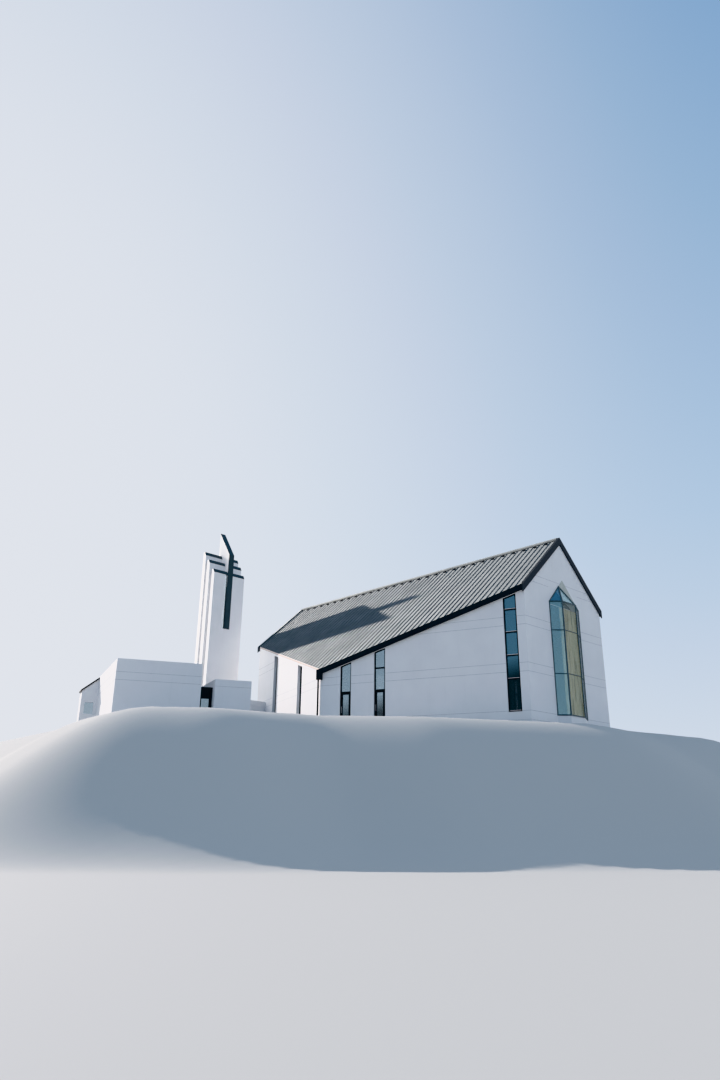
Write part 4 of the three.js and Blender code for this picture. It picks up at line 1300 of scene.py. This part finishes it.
@dataclass(frozen=True)
class Setting:
    """The pale ground, the soft sky, the lights and the camera.

    Attributes:
        middle: Plan point of the ground's middle.
        grid_reach: How far the fine grid reaches from it.
        grid_step: Its spacing.
        far_lines: Distances of the coarse lines beyond it.
        ground_drop: How far the plain lies below the plateau.
        bank_width: Width of the banks between them.
        crest: Plan of the plateau's edge.
        haze: The way to the brightest haze.
        key: The way to the low key light.
        key_colour: Its hex colour.
        key_spread: Its angle in degrees.
        box_place: Place of the light box that faces the tower.
        box_size: Its width and height.
    """

    middle: Point = (-4.0, 14.0)
    grid_reach: float = 62.0
    grid_step: float = 0.8
    far_lines: tuple[float, ...] = (75.0, 95.0, 130.0, 200.0, 400.0, 900.0)
    ground_drop: float = 6.8
    bank_width: float = 14.0
    crest: tuple[Point, ...] = (
        (-22.6, 23.0), (-23.0, 16.8), (-24.4, 11.5), (-24.6, 8.5), (-22.5, 6.7), (-20.5, 6.3), (-16.9, 5.0),
        (-13.0, 1.3), (-4.9, -3.3), (-0.8, -3.1), (6.0, -4.5), (14.0, 2.0), (15.0, 16.0), (12.0, 32.0),
        (0.0, 40.0), (-14.0, 39.0), (-22.0, 33.0),
    )
    haze: Triple = (0.0, 0.92, 0.38)
    key: Triple = (-0.12, 0.993, 0.44)
    key_colour: str = "#fff1e8"
    key_spread: float = 0.8
    box_place: Triple = (-17.0, 34.0, 12.0)
    box_size: Point = (5.0, 14.0)

    def build(self) -> None:
        """Makes the ground, the sky, the lights and the camera."""
        self.ground()
        self.sky()
        self.lights()
        self.camera()

    def ground(self) -> None:
        """Makes a level plateau under the building, with banks down to a wide pale plain."""
        near, far = np.arange(-self.grid_reach, self.grid_reach, self.grid_step), np.array(self.far_lines)
        line = np.concatenate([-far[::-1], near, far])
        xs, ys = np.meshgrid(*(line + m for m in self.middle), indexing="ij")
        ease = np.clip(self.beyond_crest(xs, ys) / self.bank_width, 0, 1)
        zs = -0.01 - self.ground_drop * (1 - np.cos(np.pi * ease)) / 2
        vertices = np.stack([xs, ys, zs], -1).reshape(-1, 3)
        count = len(line)
        corners = [i * count + j for i in range(count - 1) for j in range(count - 1)]
        faces = [(c, c + count, c + count + 1, c + 1) for c in corners]
        mesh = bpy.data.meshes.new("ground")
        mesh.from_pydata(vertices.tolist(), [], faces)
        mesh.shade_smooth()
        material = new_shader("pale_paper", {"Base Color": linear("#c0bfbb"), "Roughness": 0.95})[0]
        mesh.materials.append(material)
        ground = bpy.data.objects.new("ground", mesh)
        bpy.context.scene.collection.objects.link(ground)

    def beyond_crest(self, xs: np.ndarray, ys: np.ndarray) -> np.ndarray:
        """Gives the distance of points outside the plateau's edge, 0 inside it."""
        ring = np.array(self.crest)
        best = np.full(xs.shape, 1e9)
        inside = np.zeros(xs.shape, bool)
        for (x0, y0), (x1, y1) in zip(ring, np.roll(ring, -1, axis=0)):
            dx, dy = x1 - x0, y1 - y0
            t = np.clip(((xs - x0) * dx + (ys - y0) * dy) / (dx * dx + dy * dy), 0, 1)
            best = np.minimum(best, np.hypot(xs - x0 - t * dx, ys - y0 - t * dy))
            crosses = (y0 > ys) != (y1 > ys)
            edge = x0 + (ys - y0) * dx / (dy if dy else 1e-9)
            inside ^= crosses & (xs < edge)
        return np.where(inside, 0.0, best)

    def sky(self) -> None:
        """Makes a soft sky: hazy towards the sun, bluer above, and for reflections dim on the left."""
        world = bpy.data.worlds.new("soft_sky")
        bpy.context.scene.world = world
        world.use_nodes = True
        tree = world.node_tree
        tree.nodes.clear()
        way = add_node(tree, "ShaderNodeTexCoord").outputs["Generated"]
        height = add_node(tree, "ShaderNodeSeparateXYZ", inputs={0: way}).outputs[2]
        ramp = add_node(tree, "ShaderNodeValToRGB", inputs={0: height})
        stops = ramp.color_ramp.elements
        stops[0].position, stops[0].color = 0.0, linear("#dfe6f0")
        stops[1].position, stops[1].color = 0.85, linear("#7fa6ce")
        stops.new(0.35).color = linear("#b7cee6")

        sunward, rise, leftward = (
            share_towards(tree, way, direction)
            for direction in (Vector(self.haze).normalized(), (0.0, 0.254, 1.0), (-1.0, 0.0, 0.0))
        )
        haze = remapped(tree, sunward, (0.36, 1.05), (0.0, 0.92), "SMOOTHSTEP")
        hazy = blend_colours(tree, haze, ramp.outputs[0], "#eef0f6")
        low = remapped(tree, rise, (0.155, 0.18), (1.0, 0.0))
        left = remapped(tree, leftward, (0.75, 0.97), (0.0, 0.93))
        glossy = add_node(tree, "ShaderNodeLightPath").outputs["Is Glossy Ray"]
        dim = math_node(tree, "MULTIPLY", math_node(tree, "MULTIPLY", low, left), glossy)
        shaded = blend_colours(tree, dim, hazy, "#16201f")
        background = add_node(tree, "ShaderNodeBackground", inputs={"Strength": 1.0, 0: shaded})
        add_node(tree, "ShaderNodeOutputWorld", inputs={0: background.outputs[0]})

    def lit_pieces(self, label: str, start: str, finishes: tuple[Finish, ...]) -> bpy.types.Collection:
        """Gathers the pieces that alone take a light.

        Args:
            label: The collection's name.
            start: The first letters of the pieces' names.
            finishes: The pieces' finishes.

        Returns:
            The collection.
        """
        names = {finish.value.name for finish in finishes}
        lit = bpy.data.collections.new(label)
        for piece in bpy.data.objects:
            material = piece.active_material if piece.type == "MESH" else None
            if material and material.name in names and piece.name.startswith(start):
                lit.objects.link(piece)
        return lit

    def lights(self) -> None:
        """Adds a low key from behind, stronger on the roof, a wide fill and soft light on the tower."""
        sheets = self.lit_pieces("roof_sheets", "", (Finish.ROOF, Finish.SEAM))
        slabs = self.lit_pieces("tower_slabs", "tower_", (Finish.CONCRETE,))
        for name, towards, energy, spread, colour, pieces in (
            ("low_key", self.key, 5.3, self.key_spread, self.key_colour, None),
            ("roof_key", self.key, 9.4, self.key_spread, self.key_colour, sheets),
            ("wide_fill", (0.8, -0.5, 0.35), 0.42, 60.0, "#fff0e4", None),
            ("tower_fill", (-0.75, -0.6, -0.15), 0.4, 40.0, "#ffe3d4", slabs),
        ):
            lamp = bpy.data.lights.new(name, "SUN")
            lamp.energy = energy
            lamp.angle = math.radians(spread)
            self.hang(name, lamp, towards, colour).light_linking.receiver_collection = pieces
        box = bpy.data.lights.new("tower_box", "AREA")
        box.shape = "RECTANGLE"
        box.size, box.size_y = self.box_size
        box.energy = 1500.0
        lit = self.hang("tower_box", box, (-1.0, 0.12, 0.0), "#fff4ea")
        lit.location = self.box_place
        lit.visible_camera = False
        lit.visible_glossy = False

    def hang(self, name: str, lamp: bpy.types.Light, towards: Triple, colour: str) -> Piece:
        """Adds a light to the scene.

        Args:
            name: Its name.
            lamp: Its settings.
            towards: The way to it from the building.
            colour: Hex colour.

        Returns:
            The light.
        """
        lamp.color = linear(colour)[:3]
        light = bpy.data.objects.new(name, lamp)
        light.rotation_mode = "QUATERNION"
        light.rotation_quaternion = Vector(towards).to_track_quat("Z", "Y")
        bpy.context.scene.collection.objects.link(light)
        return light

    def camera(self) -> None:
        """Adds the camera at the photograph's place and turn."""
        lens = bpy.data.cameras.new("camera")
        lens.lens = LENS
        lens.sensor_width = 36.0
        lens.clip_start, lens.clip_end = 0.5, 3000.0
        eye = bpy.data.objects.new("camera", lens)
        turn = Matrix.Rotation(math.radians(-HEADING), 4, "Z")
        turn @= Matrix.Rotation(math.radians(90 + TILT), 4, "X")
        turn @= Matrix.Rotation(math.radians(ROLL), 4, "Z")
        eye.matrix_world = Matrix.Translation(EYE) @ turn
        bpy.context.scene.collection.objects.link(eye)
        bpy.context.scene.camera = eye


def main() -> None:
    """Builds the church and its setting."""
    bpy.context.scene.view_settings.view_transform = "Khronos PBR Neutral"
    dress()
    for part in (Nave(), Bay(), Wing(), Setting()):
        part.build()


if __name__ == "__main__":
    logging.basicConfig(level=logging.INFO, format="%(message)s")
    main()
